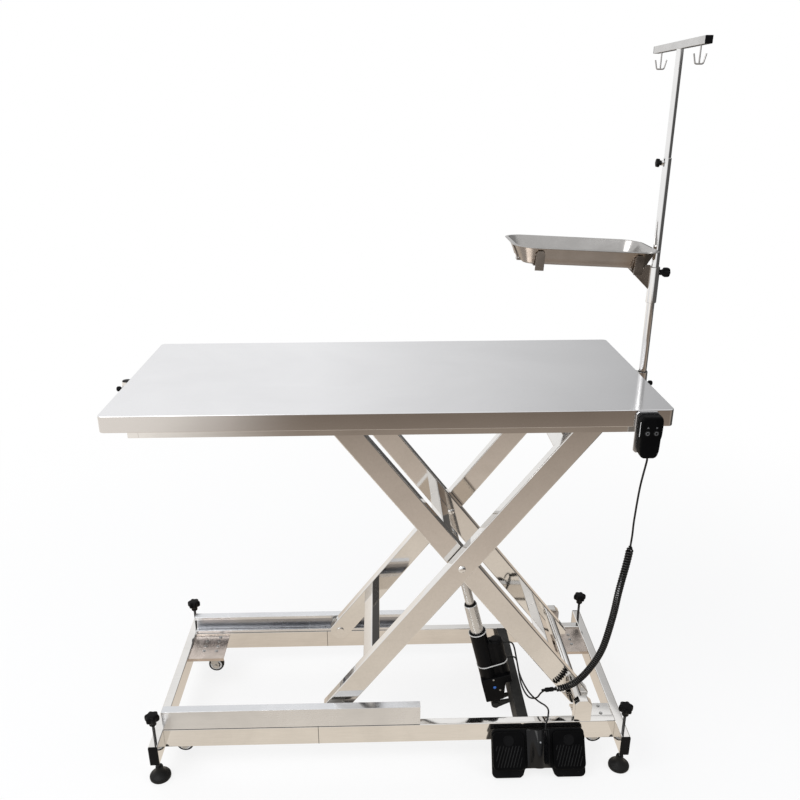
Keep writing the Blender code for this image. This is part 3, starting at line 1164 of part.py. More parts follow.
def cord(name, points, radius, resolution, finish, parent):
    """A closed round tube along points."""
    curve = bpy.data.curves.new(name, "CURVE")
    curve.dimensions = "3D"
    curve.twist_mode = "MINIMUM"
    curve.bevel_depth = radius
    curve.bevel_resolution = resolution
    curve.use_fill_caps = True
    spline = curve.splines.new("POLY")
    spline.points.add(len(points) - 1)
    for spot, point in zip(spline.points, points):
        spot.co = (*point, 1.0)
    curve.materials.append(finish)
    piece = bpy.data.objects.new(name, curve)
    bpy.context.collection.objects.link(piece)
    piece.parent = parent
    return piece


def curl(points):
    """Wind a path into a helix about itself; the helix grows out of the path and back into it."""
    path = smooth_path(points, 0.001)
    count = CURL_COUNT * CURL_POINTS
    across = Vector((1, 0, 0))
    out = []
    for n in range(count + 1):
        share = n / count
        spot = share * (len(path) - 1)
        k = min(int(spot), len(path) - 2)
        centre = path[k].lerp(path[k + 1], spot - k)
        along = (path[k + 1] - path[k]).normalized()
        across = (across - along * across.dot(along)).normalized()
        grown = CURL_RADIUS * min(1.0, share * CURL_COUNT / 2, (1 - share) * CURL_COUNT / 2)
        angle = 2 * math.pi * n / CURL_POINTS
        out.append(centre + grown * (math.cos(angle) * across + math.sin(angle) * along.cross(across)))
    return out


def least_self_gap(points, radius, apart):
    """Least gap between stretches of a tube that lie at least apart points from each other along it."""
    near = 4 * apart
    return min((point - other).length - 2 * radius
               for k, point in enumerate(points) for other in points[k + apart:k + near])


def motor_point(along, clear):
    """A point beside the motor can, from its place along the actuator and its distance from the can."""
    across = MOTOR_SIDE + clear
    cos = math.cos(ACTUATOR_ANGLE)
    sin = math.sin(ACTUATOR_ANGLE)
    return (ACTUATOR_PIN_X + along * cos + across * sin, ACTUATOR_Y,
            ACTUATOR_PIN_Z + along * sin - across * cos)


def pedal_point(x, back, height):
    """A point at the pedal's rear, from its place across, behind and above the pedal's base."""
    cos = math.cos(PEDAL_LEAN)
    sin = math.sin(PEDAL_LEAN)
    return (PEDAL_X + x, -RAIL_FACE - SEAT + back * cos - height * sin,
            PEDAL_TOP + back * sin + height * cos)


def make_cords(root, finishes):
    """Curly handset cord, the thin lead that joins it to the actuator, and the pedal's cord."""
    bottom = HANDSET_TOP - HANDSET_HEIGHT
    lead_y = -(HANDSET_BACK + HANDSET_THICK / 2)
    straight = [(HANDSET_X, lead_y, bottom - SEAT), (HANDSET_X, lead_y, bottom - CORD_RUN_OUT),
                (0.585, lead_y, 0.893), (0.579, -0.316, 0.800), (0.577, -0.315, 0.730),
                (0.577, -0.312, 0.694)]
    coil = [straight[-1], (0.5655, -0.302, 0.603), (0.564, -0.285, 0.512), (0.556, -0.260, 0.396),
            (0.5375, -0.230, 0.3075), (0.512, -0.200, 0.239), (0.483, -0.181, 0.206),
            (0.4575, -0.174, 0.196)]
    plug = Vector((0.4485, -0.1735, 0.1945))
    wire = smooth_path(straight, CORD_SAMPLE)[:-1] + curl(coil) + [plug]
    gap = least_self_gap(wire, CORD_RADIUS, CURL_POINTS - 2)
    print(f"least gap of the curly cord to itself: {gap * 1000:.2f} mm")
    cord("handset_cord", wire, CORD_RADIUS, 1, finishes["cord"], root)
    run = plug - Vector(coil[-1])
    start = plug + run.normalized() * 2 * SEAT
    lead = [start, plug + run, (0.418, -0.160, 0.193), (0.390, -0.122, 0.205), (0.367, -0.082, 0.234),
            motor_point(LEAD_ALONG, CORD_RUN_OUT), motor_point(LEAD_ALONG, SEAT)]
    cord("actuator_lead", smooth_path(lead, CORD_SAMPLE), LEAD_RADIUS, 2, finishes["cord"], root)
    pedal = [pedal_point(PEDAL_CORD_SIDE, SEAT, PEDAL_CORD_RISE),
             pedal_point(PEDAL_CORD_SIDE, CORD_RUN_OUT, PEDAL_CORD_RISE),
             (0.440, -0.242, 0.158), (0.442, -0.222, 0.165), (0.436, -0.195, 0.156), (0.422, -0.165, 0.147),
             (0.404, -0.130, 0.146), (0.386, -0.092, 0.160), (0.372, -0.064, 0.188),
             motor_point(PEDAL_LEAD_ALONG, CORD_RUN_OUT), motor_point(PEDAL_LEAD_ALONG, SEAT)]
    cord("pedal_cord", smooth_path(pedal, CORD_SAMPLE), LEAD_RADIUS, 2, finishes["cord"], root)


def main():
    """Clear the scene and build the table."""
    for old in list(bpy.data.objects):
        bpy.data.objects.remove(old)
    finishes = make_finishes()
    root = empty("surgery_table", None, (0, ORIGIN_Y, 0))
    for make in (make_base, make_feet, make_scissor, make_actuator, make_table, make_sockets,
                 make_pole, make_tray, make_handset, make_pedal, make_cords):
        make(root, finishes)


main()
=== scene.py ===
"""Looks of the electric scissor-lift surgery table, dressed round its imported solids.

Metres, +Z up. Shapes are drawn about the table's middle plane and moved to the frame's own Y when they
are settled on their body.
"""
import json
import math

import bmesh
import bpy
from mathutils import Matrix, Vector
from mathutils.kdtree import KDTree

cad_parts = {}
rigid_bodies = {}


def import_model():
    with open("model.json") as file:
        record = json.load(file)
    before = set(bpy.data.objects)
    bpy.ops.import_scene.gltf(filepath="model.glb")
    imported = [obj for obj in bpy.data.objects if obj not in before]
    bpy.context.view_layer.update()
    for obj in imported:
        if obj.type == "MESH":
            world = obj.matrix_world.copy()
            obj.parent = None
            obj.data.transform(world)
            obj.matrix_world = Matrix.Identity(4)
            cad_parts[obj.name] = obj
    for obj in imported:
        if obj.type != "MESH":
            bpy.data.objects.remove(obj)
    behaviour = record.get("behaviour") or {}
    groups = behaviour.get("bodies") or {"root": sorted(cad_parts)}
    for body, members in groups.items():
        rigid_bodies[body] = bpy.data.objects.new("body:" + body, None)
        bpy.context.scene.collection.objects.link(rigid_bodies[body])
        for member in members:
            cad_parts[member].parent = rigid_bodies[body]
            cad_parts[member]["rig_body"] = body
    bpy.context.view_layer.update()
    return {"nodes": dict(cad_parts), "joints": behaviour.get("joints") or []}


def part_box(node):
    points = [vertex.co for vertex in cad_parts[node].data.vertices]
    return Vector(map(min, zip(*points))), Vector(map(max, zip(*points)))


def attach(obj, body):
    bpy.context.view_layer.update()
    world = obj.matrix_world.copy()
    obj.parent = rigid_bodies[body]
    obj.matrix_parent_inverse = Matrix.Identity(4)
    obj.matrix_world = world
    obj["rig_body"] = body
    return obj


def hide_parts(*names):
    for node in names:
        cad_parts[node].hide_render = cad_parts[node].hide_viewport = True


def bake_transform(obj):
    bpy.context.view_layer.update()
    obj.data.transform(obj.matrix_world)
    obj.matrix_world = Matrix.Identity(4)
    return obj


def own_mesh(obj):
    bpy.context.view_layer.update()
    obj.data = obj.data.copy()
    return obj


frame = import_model()

# Photograph's camera, measured on an 800 pixel frame
FRAME_PIXELS = 800
FOCAL_PIXELS = 805.3
PRINCIPAL_DROP = 39.46
EYE = Vector((-0.0174, -1.9773, 1.7101))
EYE_YAW = math.radians(-1.491)
EYE_PITCH = math.radians(22.357)
EYE_ROLL = math.radians(-0.171)
SENSOR = 36.0

# Stage
FADE = (0.9, 3.2)          # distances between which the floor fades into white
FLOOR_REACH = 14.0
WALL_RADIUS = 6.0
WALL_TOP = 5.0
WALL_SIDES = 64

# Sheet, tube and fit
TOP_SHEET = 0.0015
TOP_CORNER = 0.012
TOP_EDGE = 0.0018
SKIRT_RETURN = 0.012
TUBE_CORNER = 0.003
TUBE_HEIGHT = 0.060
TUBE_HALF = 0.0125         # half the narrow side of the sub-frame's and the base ends' tubes
PLUG_DEPTH = 0.004
RAIL_SEAM_X = -0.20
SEAM_CORNER = 0.0002
BRACKET_HALF = 0.0235
BRACKET_CUT = 0.012
CHANNEL_SHEET = 0.003
SEAT = 0.0003
FACETS = 48

# Scissor
LEG_THICK = 0.030
LEG_HALF_WIDTH = 0.030
LEG_OVERHANG = 0.027
LEG_CHAMFER = 0.016
CROSS_ALONG = 0.040
CROSS_ACROSS = 0.030
INNER_BACK = 0.130
OUTER_BACK = 0.165
EYE_AHEAD = 0.0154         # the actuator's upper pin, past the centre bolt
EYE_RADIUS = 0.014
SHAFT_RADIUS = 0.0125
SHAFT_HEAD = 0.0156
BOLT_HEAD = 0.005
BOLT_HEAD_RADIUS = 0.013
BOLT_SHANK = 0.008
DOME_RADIUS = 0.0098

# Cords
WIRE_RADIUS = 0.0024
CURL_RADIUS = 0.0070
CURL_COUNT = 80
CURL_POINTS = 14
CORD_STEP = 0.006

joint_at = {joint["name"]: Vector(joint["pos_m"]) for joint in frame["joints"] if "pos_m" in joint}
joint_axis = {joint["name"]: Vector(joint["axis"]) for joint in frame["joints"]}
body_of = {name: piece["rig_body"] for name, piece in frame["nodes"].items()}
top_low, top_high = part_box("table_top")
MIDDLE_Y = (top_low.y + top_high.y) / 2
TO_FRAME = Vector((0.0, MIDDLE_Y, 0.0))
TABLE_END = top_high.x
TABLE_SIDE = (top_high.y - top_low.y) / 2
LOW_PIVOT = joint_at["lift"]
CENTRE = joint_at["scissor"]
LEG_ANGLE = math.atan2(CENTRE.z - LOW_PIVOT.z, LOW_PIVOT.x - CENTRE.x)
LEG_HALF = math.hypot(CENTRE.z - LOW_PIVOT.z, LOW_PIVOT.x - CENTRE.x)
SIDES = (("front", -1), ("rear", 1))
ENDS = (("left", -1), ("right", 1))
CORNERS = tuple(f"{y}_{x}" for x, _ in ENDS for y, _ in SIDES)


# Node helpers. A (node, socket) pair stands for an output that other inputs may take.
def feed(tree, made, inputs):
    """Set a node's inputs to values, or link them to pairs."""
    for key, value in inputs.items():
        if isinstance(value, tuple) and isinstance(value[0], bpy.types.Node):
            tree.links.new(value[0].outputs[value[1]], made.inputs[key])
        else:
            made.inputs[key].default_value = value
    return made


def wire(tree, kind, inputs=None, **settings):
    """A node with its settings and its inputs."""
    made = tree.nodes.new(kind)
    for key, value in settings.items():
        setattr(made, key, value)
    return feed(tree, made, inputs or {})


def group(name, kind, inputs, outputs):
    """A node group with named sockets, and its two end nodes."""
    tree = bpy.data.node_groups.new(name, f"{kind}NodeTree")
    for sockets, direction in ((inputs, "INPUT"), (outputs, "OUTPUT")):
        for socket, kind_of_value in sockets.items():
            tree.interface.new_socket(name=socket, in_out=direction, socket_type=f"NodeSocket{kind_of_value}")
    return tree, tree.nodes.new("NodeGroupInput"), tree.nodes.new("NodeGroupOutput")


def here(tree):
    """Each point's place on its piece."""
    return wire(tree, "ShaderNodeTexCoord"), "Object"


def maths(tree, operation, first, second):
    """Two values worked together."""
    return wire(tree, "ShaderNodeMath", {0: first, 1: second}, operation=operation), "Value"


def spread(tree, value, start=0.0, end=1.0, low=0.0, high=1.0, smooth=False):
    """What lies between start and end, spread between low and high."""
    return wire(tree, "ShaderNodeMapRange",
                {"Value": value, "From Min": start, "From Max": end, "To Min": low, "To Max": high},
                interpolation_type="SMOOTHSTEP" if smooth else "LINEAR"), "Result"


def tone_of(tree, mask, dark, light, start=0.0, end=1.0):
    """A colour between dark and light by a mask."""
    ramp = wire(tree, "ShaderNodeValToRGB", {"Fac": mask})
    for stop, tone, share in zip(ramp.color_ramp.elements, (dark, light), (start, end)):
        stop.color = (*tone, 1.0)
        stop.position = share
    return ramp, "Color"


def blended(tree, share, first, second):
    """A colour between two by a share."""
    return wire(tree, "ShaderNodeMix", {"Factor": share, "A": first, "B": second}, data_type="RGBA"), "Result"


def face_mark(tree, name):
    """A mark stored on the faces of a piece."""
    return wire(tree, "ShaderNodeAttribute", attribute_name=name), "Fac"


def relief(tree, mask, strength, depth):
    """A mask raised from the surface."""
    return wire(tree, "ShaderNodeBump", {"Height": mask, "Strength": strength, "Distance": depth}), "Normal"


# Surface effects shared by the finishes
def make_brushing():
    """Fine lines left by the belt, long along one axis."""
    tree, given, out = group("brushing", "Shader", {"Stretch": "Vector"}, {"Lines": "Float"})
    drawn = wire(tree, "ShaderNodeVectorMath", {0: here(tree), 1: (given, "Stretch")}, operation="MULTIPLY")
    noise = wire(tree, "ShaderNodeTexNoise", {"Vector": (drawn, "Vector"), "Scale": 1.0, "Detail": 4.0,
                                              "Roughness": 0.65})
    feed(tree, out, {"Lines": (noise, "Fac")})
    return tree


def make_handling():
    """Soft cloudy marks of wiping and of hands."""
    tree, given, out = group("handling", "Shader", {"Size": "Float"}, {"Smudge": "Float"})
    noise = wire(tree, "ShaderNodeTexNoise", {"Vector": here(tree), "Scale": (given, "Size"), "Detail": 5.0,
                                              "Roughness": 0.55, "Distortion": 0.6})
    feed(tree, out, {"Smudge": spread(tree, (noise, "Fac"), 0.3, 0.7)})
    return tree


def make_mould_grain():
    """Fine spark-eroded grain of moulded plastic and rubber."""
    tree, given, out = group("mould_grain", "Shader", {"Size": "Float"}, {"Grain": "Float"})
    cells = wire(tree, "ShaderNodeTexVoronoi", {"Vector": here(tree), "Scale": (given, "Size")})
    feed(tree, out, {"Grain": (cells, "Distance")})
    return tree


EFFECTS = {"brushing": make_brushing(), "handling": make_handling(), "mould_grain": make_mould_grain()}
METAL_STOPS = (0.25, 0.75)
METAL_RELIEF = 0.0004
MOULD_SMUDGE = 14.0
MOULD_RELIEF = 0.0003


def effect(tree, name, value):
    """One of the shared effects, placed in a material with the value of its one input."""
    return wire(tree, "ShaderNodeGroup", {0: value}, node_tree=EFFECTS[name]), 0


def new_finish(name):
    """A material with its nodes."""
    finish = bpy.data.materials.new(name)
    finish.use_nodes = True
    return finish, finish.node_tree


def metal(name, dark, light, gloss, stretch, smudge, bump, outer=None):
    """A metal with brushing lines in its colour and relief, and handling marks in its gloss.

    Faces with the mark outer may take tones of their own, painted shade and painted reflection on a pan's
    sides and underside.
    """
    finish, tree = new_finish(name)
    lines = effect(tree, "brushing", stretch)
    marks = maths(tree, "MULTIPLY", maths(tree, "ADD", lines, effect(tree, "handling", smudge)), 0.5)
    colour = tone_of(tree, marks, dark, light, *METAL_STOPS)
    # Outer faces take a second set of tones, painted shade and painted reflection.
    if outer:
        colour = blended(tree, face_mark(tree, "outer"), colour, tone_of(tree, marks, *outer, *METAL_STOPS))
    feed(tree, tree.nodes["Principled BSDF"],
         {"Base Color": colour, "Roughness": spread(tree, marks, low=gloss[0], high=gloss[1]),
          "Normal": relief(tree, lines, bump, METAL_RELIEF), "Metallic": 1.0})
    return finish


def plastic(name, dark, light, gloss, grain, bump, specular=0.5, shaded=False):
    """A moulded plastic or rubber with a fine grain and cloudy gloss; a coil's inner faces may lose the gloss
    as painted shade.
    """
    finish, tree = new_finish(name)
    marks = effect(tree, "handling", MOULD_SMUDGE)
    level = spread(tree, face_mark(tree, "inner"), low=specular, high=0.0) if shaded else specular
    feed(tree, tree.nodes["Principled BSDF"],
         {"Base Color": tone_of(tree, marks, dark, light), "Specular IOR Level": level,
          "Roughness": spread(tree, marks, low=gloss[0], high=gloss[1]),
          "Normal": relief(tree, effect(tree, "mould_grain", grain), bump, MOULD_RELIEF)})
    return finish


def even(stretch):
    """A brushing with no direction."""
    return stretch, stretch, stretch


ALONG_X = (5.0, 900.0, 900.0)
ALONG_Y = (900.0, 5.0, 900.0)
ALONG_Z = (700.0, 700.0, 6.0)
MIRROR = ((0.72, 0.705, 0.685), (0.82, 0.805, 0.785))
BLACK = ((0.003, 0.003, 0.0034), (0.006, 0.006, 0.0064))
FINISHES = {
    "polished": {
        "polished": metal("mirror_stainless", *MIRROR, (0.04, 0.09), (18.0, 260.0, 260.0), 5.0, 0.010),
        "leg": metal("mirror_leg_stainless", *MIRROR, (0.03, 0.08), (120.0, 160.0, 120.0), 4.0, 0.010),
        "channel": metal("satin_channel", (0.66, 0.67, 0.69), (0.77, 0.78, 0.80), (0.20, 0.32), ALONG_X, 6.0,
                         0.06),
        # The rear caster plates' copy of the steel, darker as painted shade.
        "plate": metal("folded_plate_painted_shade", (0.50, 0.435, 0.39), (0.66, 0.58, 0.525), (0.20, 0.32), even(40.0),
                       25.0, 0.03),
        # A dark sheet for the channel's back, painted shade.
        "track": metal("channel_back_painted_shade", (0.32, 0.325, 0.345), (0.43, 0.435, 0.455), (0.22, 0.34), ALONG_X, 6.0,
                       0.05),
        "pole": metal("polished_pole", (0.78, 0.775, 0.77), (0.86, 0.855, 0.85), (0.05, 0.10), ALONG_Z, 8.0,
                      0.008),
    },
    "brushed": {
        # The sheet's outer tones, darker on its skirt and underside, are painted shade.
        "top": metal("brushed_top", (0.73, 0.73, 0.745), (0.79, 0.79, 0.805), (0.08, 0.14), ALONG_X, 2.5,
                     0.03, outer=((0.62, 0.60, 0.585), (0.68, 0.66, 0.645))),
        # The pan's outer tones, warm brown on its outside and underside, are a painted reflection of the warm
        # floor.
        "tray": metal("pressed_tray", (0.37, 0.36, 0.35), (0.45, 0.44, 0.43), (0.20, 0.30), even(30.0), 9.0,
                      0.02, outer=((0.27, 0.225, 0.185), (0.34, 0.29, 0.245))),
        "strap": metal("tray_strap", (0.25, 0.215, 0.185), (0.36, 0.315, 0.275), (0.18, 0.28), even(30.0),
                       30.0, 0.03),
        "bar": metal("brushed_bar", (0.50, 0.49, 0.48), (0.60, 0.59, 0.58), (0.20, 0.34), ALONG_Y, 30.0,
                     0.08),
        "aluminium": metal("drawn_tube", (0.60, 0.605, 0.61), (0.74, 0.745, 0.75), (0.22, 0.34), ALONG_Z,
                           12.0, 0.05),
    },
    "zinc": {
        "zinc": metal("zinc_plate", (0.40, 0.40, 0.395), (0.58, 0.58, 0.575), (0.22, 0.36), even(60.0), 45.0,
                      0.04),
    },
    "black": {
        "stem": metal("blackened_stem", (0.035, 0.035, 0.036), (0.075, 0.075, 0.076), (0.28, 0.42), ALONG_Z,
                      40.0, 0.04),
        # The base cross tube's steel as near-black: painted dark reflection.
        "dim": plastic("tube_painted_dark_reflection", (0.022, 0.022, 0.021), (0.045, 0.044, 0.042), (0.50, 0.66), 900.0,
                       0.05, 0.08),
        "black": plastic("black_moulding", *BLACK, (0.30, 0.46), 2600.0, 0.08, 0.07),
        "case": plastic("handset_moulding", (0.002, 0.002, 0.0022), (0.004, 0.004, 0.0042), (0.26, 0.40),
                        2600.0, 0.05, 0.03),
        "gloss_black": plastic("pedal_moulding", *BLACK, (0.10, 0.17), 1900.0, 0.02, 0.24),
        "rib": plastic("treadle_rib", (0.007, 0.007, 0.0073), (0.012, 0.012, 0.0124), (0.30, 0.42), 1500.0,
                       0.05, 0.12),
        "blue": plastic("blue_dot", (0.03, 0.16, 0.62), (0.05, 0.22, 0.75), (0.30, 0.42), 1500.0, 0.02),
    },
    "rubber": {
        "rubber": plastic("black_rubber", (0.005, 0.005, 0.005), (0.011, 0.011, 0.011), (0.45, 0.62), 1500.0,
                          0.16, 0.18),
    },
    "cord": {
        "cord": plastic("cord_jacket", *BLACK, (0.20, 0.30), 3200.0, 0.03, 0.38, shaded=True),
    },
    "nylon": {
        "nylon": plastic("white_nylon", (0.66, 0.65, 0.62), (0.76, 0.75, 0.72), (0.40, 0.52), 1800.0, 0.06),
        "tie": plastic("cable_tie", (0.74, 0.74, 0.72), (0.82, 0.82, 0.80), (0.34, 0.44), 2200.0, 0.04),
        "print": plastic("pale_print", (0.07, 0.071, 0.073), (0.12, 0.122, 0.125), (0.42, 0.55), 1500.0,
                         0.02),
        "lamp": plastic("clear_lamp", (0.26, 0.27, 0.28), (0.36, 0.37, 0.38), (0.10, 0.18), 1500.0, 0.02),
    },
}
FINISH = {key: finish for finishes in FINISHES.values() for key, finish in finishes.items()}


# Shape helpers
def at(axis, along, a, b):
    """A point from its place along an axis and its two other coordinates, in X, Y, Z order."""
    return {"X": (along, a, b), "Y": (a, along, b), "Z": (a, b, along)}[axis]


def node_place(node):
    """Middle of a CAD node, about the table's middle plane, and its half sizes."""
    low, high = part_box(node)
    return (low + high) / 2 - TO_FRAME, (high - low) / 2


def in_frame(points):
    """Points moved from the table's middle plane to the frame."""
    return [Vector(point) + TO_FRAME for point in points]


def mirrored(points, between=()):
    """Points, others between, and their mirror images in the first coordinate, back to the start."""
    return [*points, *between, *((-a, *rest) for a, *rest in reversed(points))]


def loft(loops, ring=False):
    """Skin loops of equally many points, with closed ends or as a ring."""
    shape = bmesh.new()
    rows = [[shape.verts.new(point) for point in loop] for loop in loops]
    pairs = list(zip(rows, rows[1:]))
    if ring:
        pairs.append((rows[-1], rows[0]))
    for low, high in pairs:
        for k, vertex in enumerate(low):
            after = (k + 1) % len(low)
            shape.faces.new((vertex, low[after], high[after], high[k]))
    if not ring:
        shape.faces.new(reversed(rows[0]))
        shape.faces.new(rows[-1])
    return shape


def prism(outline, axis, low, high):
    """A flat outline pushed along an axis."""
    return loft([[at(axis, along, a, b) for a, b in outline] for along in sorted((low, high))])


def arc(centre, radius, start, end, steps):
    """Points on an arc, with its angles in degrees."""
    angles = (math.radians(start + (end - start) * step / steps) for step in range(steps + 1))
    return [(centre[0] + radius * math.cos(t), centre[1] + radius * math.sin(t)) for t in angles]


def rounded(half_a, half_b, radius, steps=4, centre=(0.0, 0.0)):
    """Outline of a rectangle with round corners."""
    points = []
    for quarter, (sa, sb) in enumerate(((1, 1), (-1, 1), (-1, -1), (1, -1))):
        middle = (centre[0] + sa * (half_a - radius), centre[1] + sb * (half_b - radius))
        points += arc(middle, radius, 90 * quarter, 90 * quarter + 90, steps)
    return points


def pressed(steps, half_a, half_b, corner, arc_steps, centre=(0.0, 0.0), least=0.0):
    """Skin rectangles with round corners from steps of (inset, height)."""
    loops = []
    for inset, z in steps:
        outline = rounded(half_a - inset, half_b - inset, max(corner - inset, least), arc_steps, centre)
        loops.append([(x, y, z) for x, y in outline])
    return loft(loops)


def turned(profile, axis, centre=(0.0, 0.0), sides=FACETS, ring=False, lobes=6):
    """Turn a profile of (along, radius) or (along, radius, lobe depth) about an axis."""
    loops = []
    for along, radius, *lobe in profile:
        loop = []
        for k in range(sides):
            angle = 2 * math.pi * k / sides
            reach = radius * (1 + (lobe[0] * math.cos(lobes * angle) if lobe else 0))
            loop.append(at(axis, along, centre[0] + reach * math.cos(angle),
                           centre[1] + reach * math.sin(angle)))
        loops.append(loop)
    return loft(loops, ring)


def tube(axis, low, high, centre, outer, inner, sides=FACETS):
    """A round tube with open ends."""
    return turned([(low, outer), (high, outer), (high, inner), (low, inner)], axis, centre, sides, ring=True)


def bar(axis, low, high, half_a, half_b, centre, corner=TUBE_CORNER):
    """A rectangular tube with round edges and closed ends."""
    return prism(rounded(half_a, half_b, corner, 4, centre), axis, low, high)


def clip(shape, point, normal):
    """Cut off what lies past a plane and close the cut."""
    cut = bmesh.ops.bisect_plane(shape, geom=shape.verts[:] + shape.edges[:] + shape.faces[:], plane_co=point,
                                 plane_no=normal, clear_outer=True)
    edges = [part for part in cut["geom_cut"] if isinstance(part, bmesh.types.BMEdge)]
    bmesh.ops.contextual_create(shape, geom=edges)


def together(*shapes):
    """Several shapes as one."""
    first = shapes[0]
    for other in shapes[1:]:
        mesh = bpy.data.meshes.new("gathered")
        other.to_mesh(mesh)
        other.free()
        first.from_mesh(mesh)
        bpy.data.meshes.remove(mesh)
    return first


def moved(shape, matrix):
    """A shape turned or moved by a matrix."""
    bmesh.ops.transform(shape, matrix=matrix, verts=shape.verts)
    return shape


# Pieces
BEVEL = {"limit_method": "ANGLE", "angle_limit": math.radians(30), "use_clamp_overlap": True}


def placed(name, data):
    """A new object in the scene."""
    thing = bpy.data.objects.new(name, data)
    bpy.context.collection.objects.link(thing)
    return thing


def bake(piece):
    """Turn a piece's modifiers into its plain mesh."""
    graph = bpy.context.evaluated_depsgraph_get()
    mesh = bpy.data.meshes.new_from_object(piece.evaluated_get(graph))
    piece.modifiers.clear()
    old = piece.data
    piece.data = mesh
    bpy.data.meshes.remove(old)
    mesh.name = piece.name


def smoothed(piece, degrees):
    """Shade a piece smooth up to an angle between its faces."""
    piece.data.shade_smooth()
    piece.data.set_sharp_from_angle(angle=math.radians(degrees))


def dress(piece, body, nodes):
    """Let a piece ride on a body and stand for CAD nodes."""
    if body:
        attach(piece, body)
    if nodes:
        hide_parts(*nodes)
    return piece


def settle(name, shape, finish, body, nodes=(), ease=0.0, smooth=38.0, shift=True, segments=2):
    """Make a shape a finished piece, with its sharp edges eased by a width and smoothed up to an angle."""
    if shift:
        moved(shape, Matrix.Translation(TO_FRAME))
    bmesh.ops.recalc_face_normals(shape, faces=shape.faces)
    mesh = bpy.data.meshes.new(name)
    shape.to_mesh(mesh)
    shape.free()
    piece = placed(name, mesh)
    if ease:
        bevel = piece.modifiers.new("ease", "BEVEL")
        for key, value in {**BEVEL, "width": ease, "segments": segments}.items():
            setattr(bevel, key, value)
        bake(piece)
    smoothed(piece, smooth)
    piece.modifiers.new("even", "WEIGHTED_NORMAL").keep_sharp = True
    bake(piece)
    piece.data.materials.clear()
    piece.data.materials.append(FINISH[finish])
    return dress(piece, body, nodes)


def eased(node, finish, width):
    """A CAD node's own solid with its edges eased."""
    shape = bmesh.new()
    shape.from_mesh(frame["nodes"][node].data)
    bmesh.ops.remove_doubles(shape, verts=shape.verts, dist=0.00001)
    bmesh.ops.dissolve_limit(shape, angle_limit=math.radians(1), verts=shape.verts, edges=shape.edges)
    settle(f"{node}_eased", shape, finish, body_of[node], (node,), width, shift=False)


def mark_faces(piece, name, test):
    """Mark the faces of a piece that pass a test."""
    mark = piece.data.attributes.new(name, "FLOAT", "FACE")
    for face in piece.data.polygons:
        mark.data[face.index].value = float(test(face))


def mark_painted_sides(piece):
    """Mark the faces of a pan that look away from its middle or down, which take the outer tones: painted
    shade and painted reflection.
    """
    middle = sum((face.center for face in piece.data.polygons), Vector()) / len(piece.data.polygons)
    mark_faces(piece, "outer", lambda face: face.normal.z < 0.3 and (
        (face.center - middle).xy.dot(face.normal.xy) > 0.0 or face.normal.z < -0.5))


# Geometry node tools for what repeats or follows a path
def shape_tool(name, **sizes):
    """A geometry node group with named sizes between its points and its finished shape."""
    given = {"Geometry": "Geometry", **sizes, "Finish": "Material"}
    return group(name, "Geometry", given, {"Geometry": "Geometry"})


def close_tool(tree, given, out, made):
    """End a tool with realised instances and a finish."""
    real = wire(tree, "GeometryNodeRealizeInstances", {"Geometry": made})
    dressed = wire(tree, "GeometryNodeSetMaterial",
                   {"Geometry": (real, "Geometry"), "Material": (given, "Finish")})
    feed(tree, out, {"Geometry": (dressed, "Geometry")})
    return tree


def make_path_tube():
    """Sweep a round section along every edge chain of a mesh."""
    tree, given, out = shape_tool("path_tube", Radius="Float", Sides="Int")
    path = wire(tree, "GeometryNodeMeshToCurve", {"Mesh": (given, "Geometry")})
    section = wire(tree, "GeometryNodeCurvePrimitiveCircle",
                   {"Resolution": (given, "Sides"), "Radius": (given, "Radius")})
    swept = wire(tree, "GeometryNodeCurveToMesh",
                 {"Curve": (path, "Curve"), "Profile Curve": (section, "Curve"), "Fill Caps": True})
    return close_tool(tree, given, out, (swept, "Mesh"))


def make_fasteners():
    """A washer and a head on every point, facing along the point's own direction."""
    tree, given, out = shape_tool("fasteners", Radius="Float", Height="Float", Sides="Int")
    radius, height = (given, "Radius"), (given, "Height")
    facing = wire(tree, "GeometryNodeInputNamedAttribute", {"Name": "facing"}, data_type="FLOAT_VECTOR")
    turn = wire(tree, "FunctionNodeAlignRotationToVector", {"Vector": (facing, "Attribute")}, axis="Z")
    crown = maths(tree, "MULTIPLY", radius, 0.82)
    head = wire(tree, "GeometryNodeMeshCone",
                {"Vertices": (given, "Sides"), "Radius Bottom": radius, "Radius Top": crown, "Depth": height})
    wide = maths(tree, "MULTIPLY", radius, 1.35)
    thin = maths(tree, "MULTIPLY", height, 0.28)
    washer = wire(tree, "GeometryNodeMeshCylinder", {"Vertices": 24, "Radius": wide, "Depth": thin})
    both = wire(tree, "GeometryNodeJoinGeometry")
    for part in (head, washer):
        feed(tree, both, {"Geometry": (part, "Mesh")})
    heads = wire(tree, "GeometryNodeInstanceOnPoints",
                 {"Points": (given, "Geometry"), "Instance": (both, "Geometry"),
                  "Rotation": (turn, "Rotation")})
    return close_tool(tree, given, out, (heads, "Instances"))


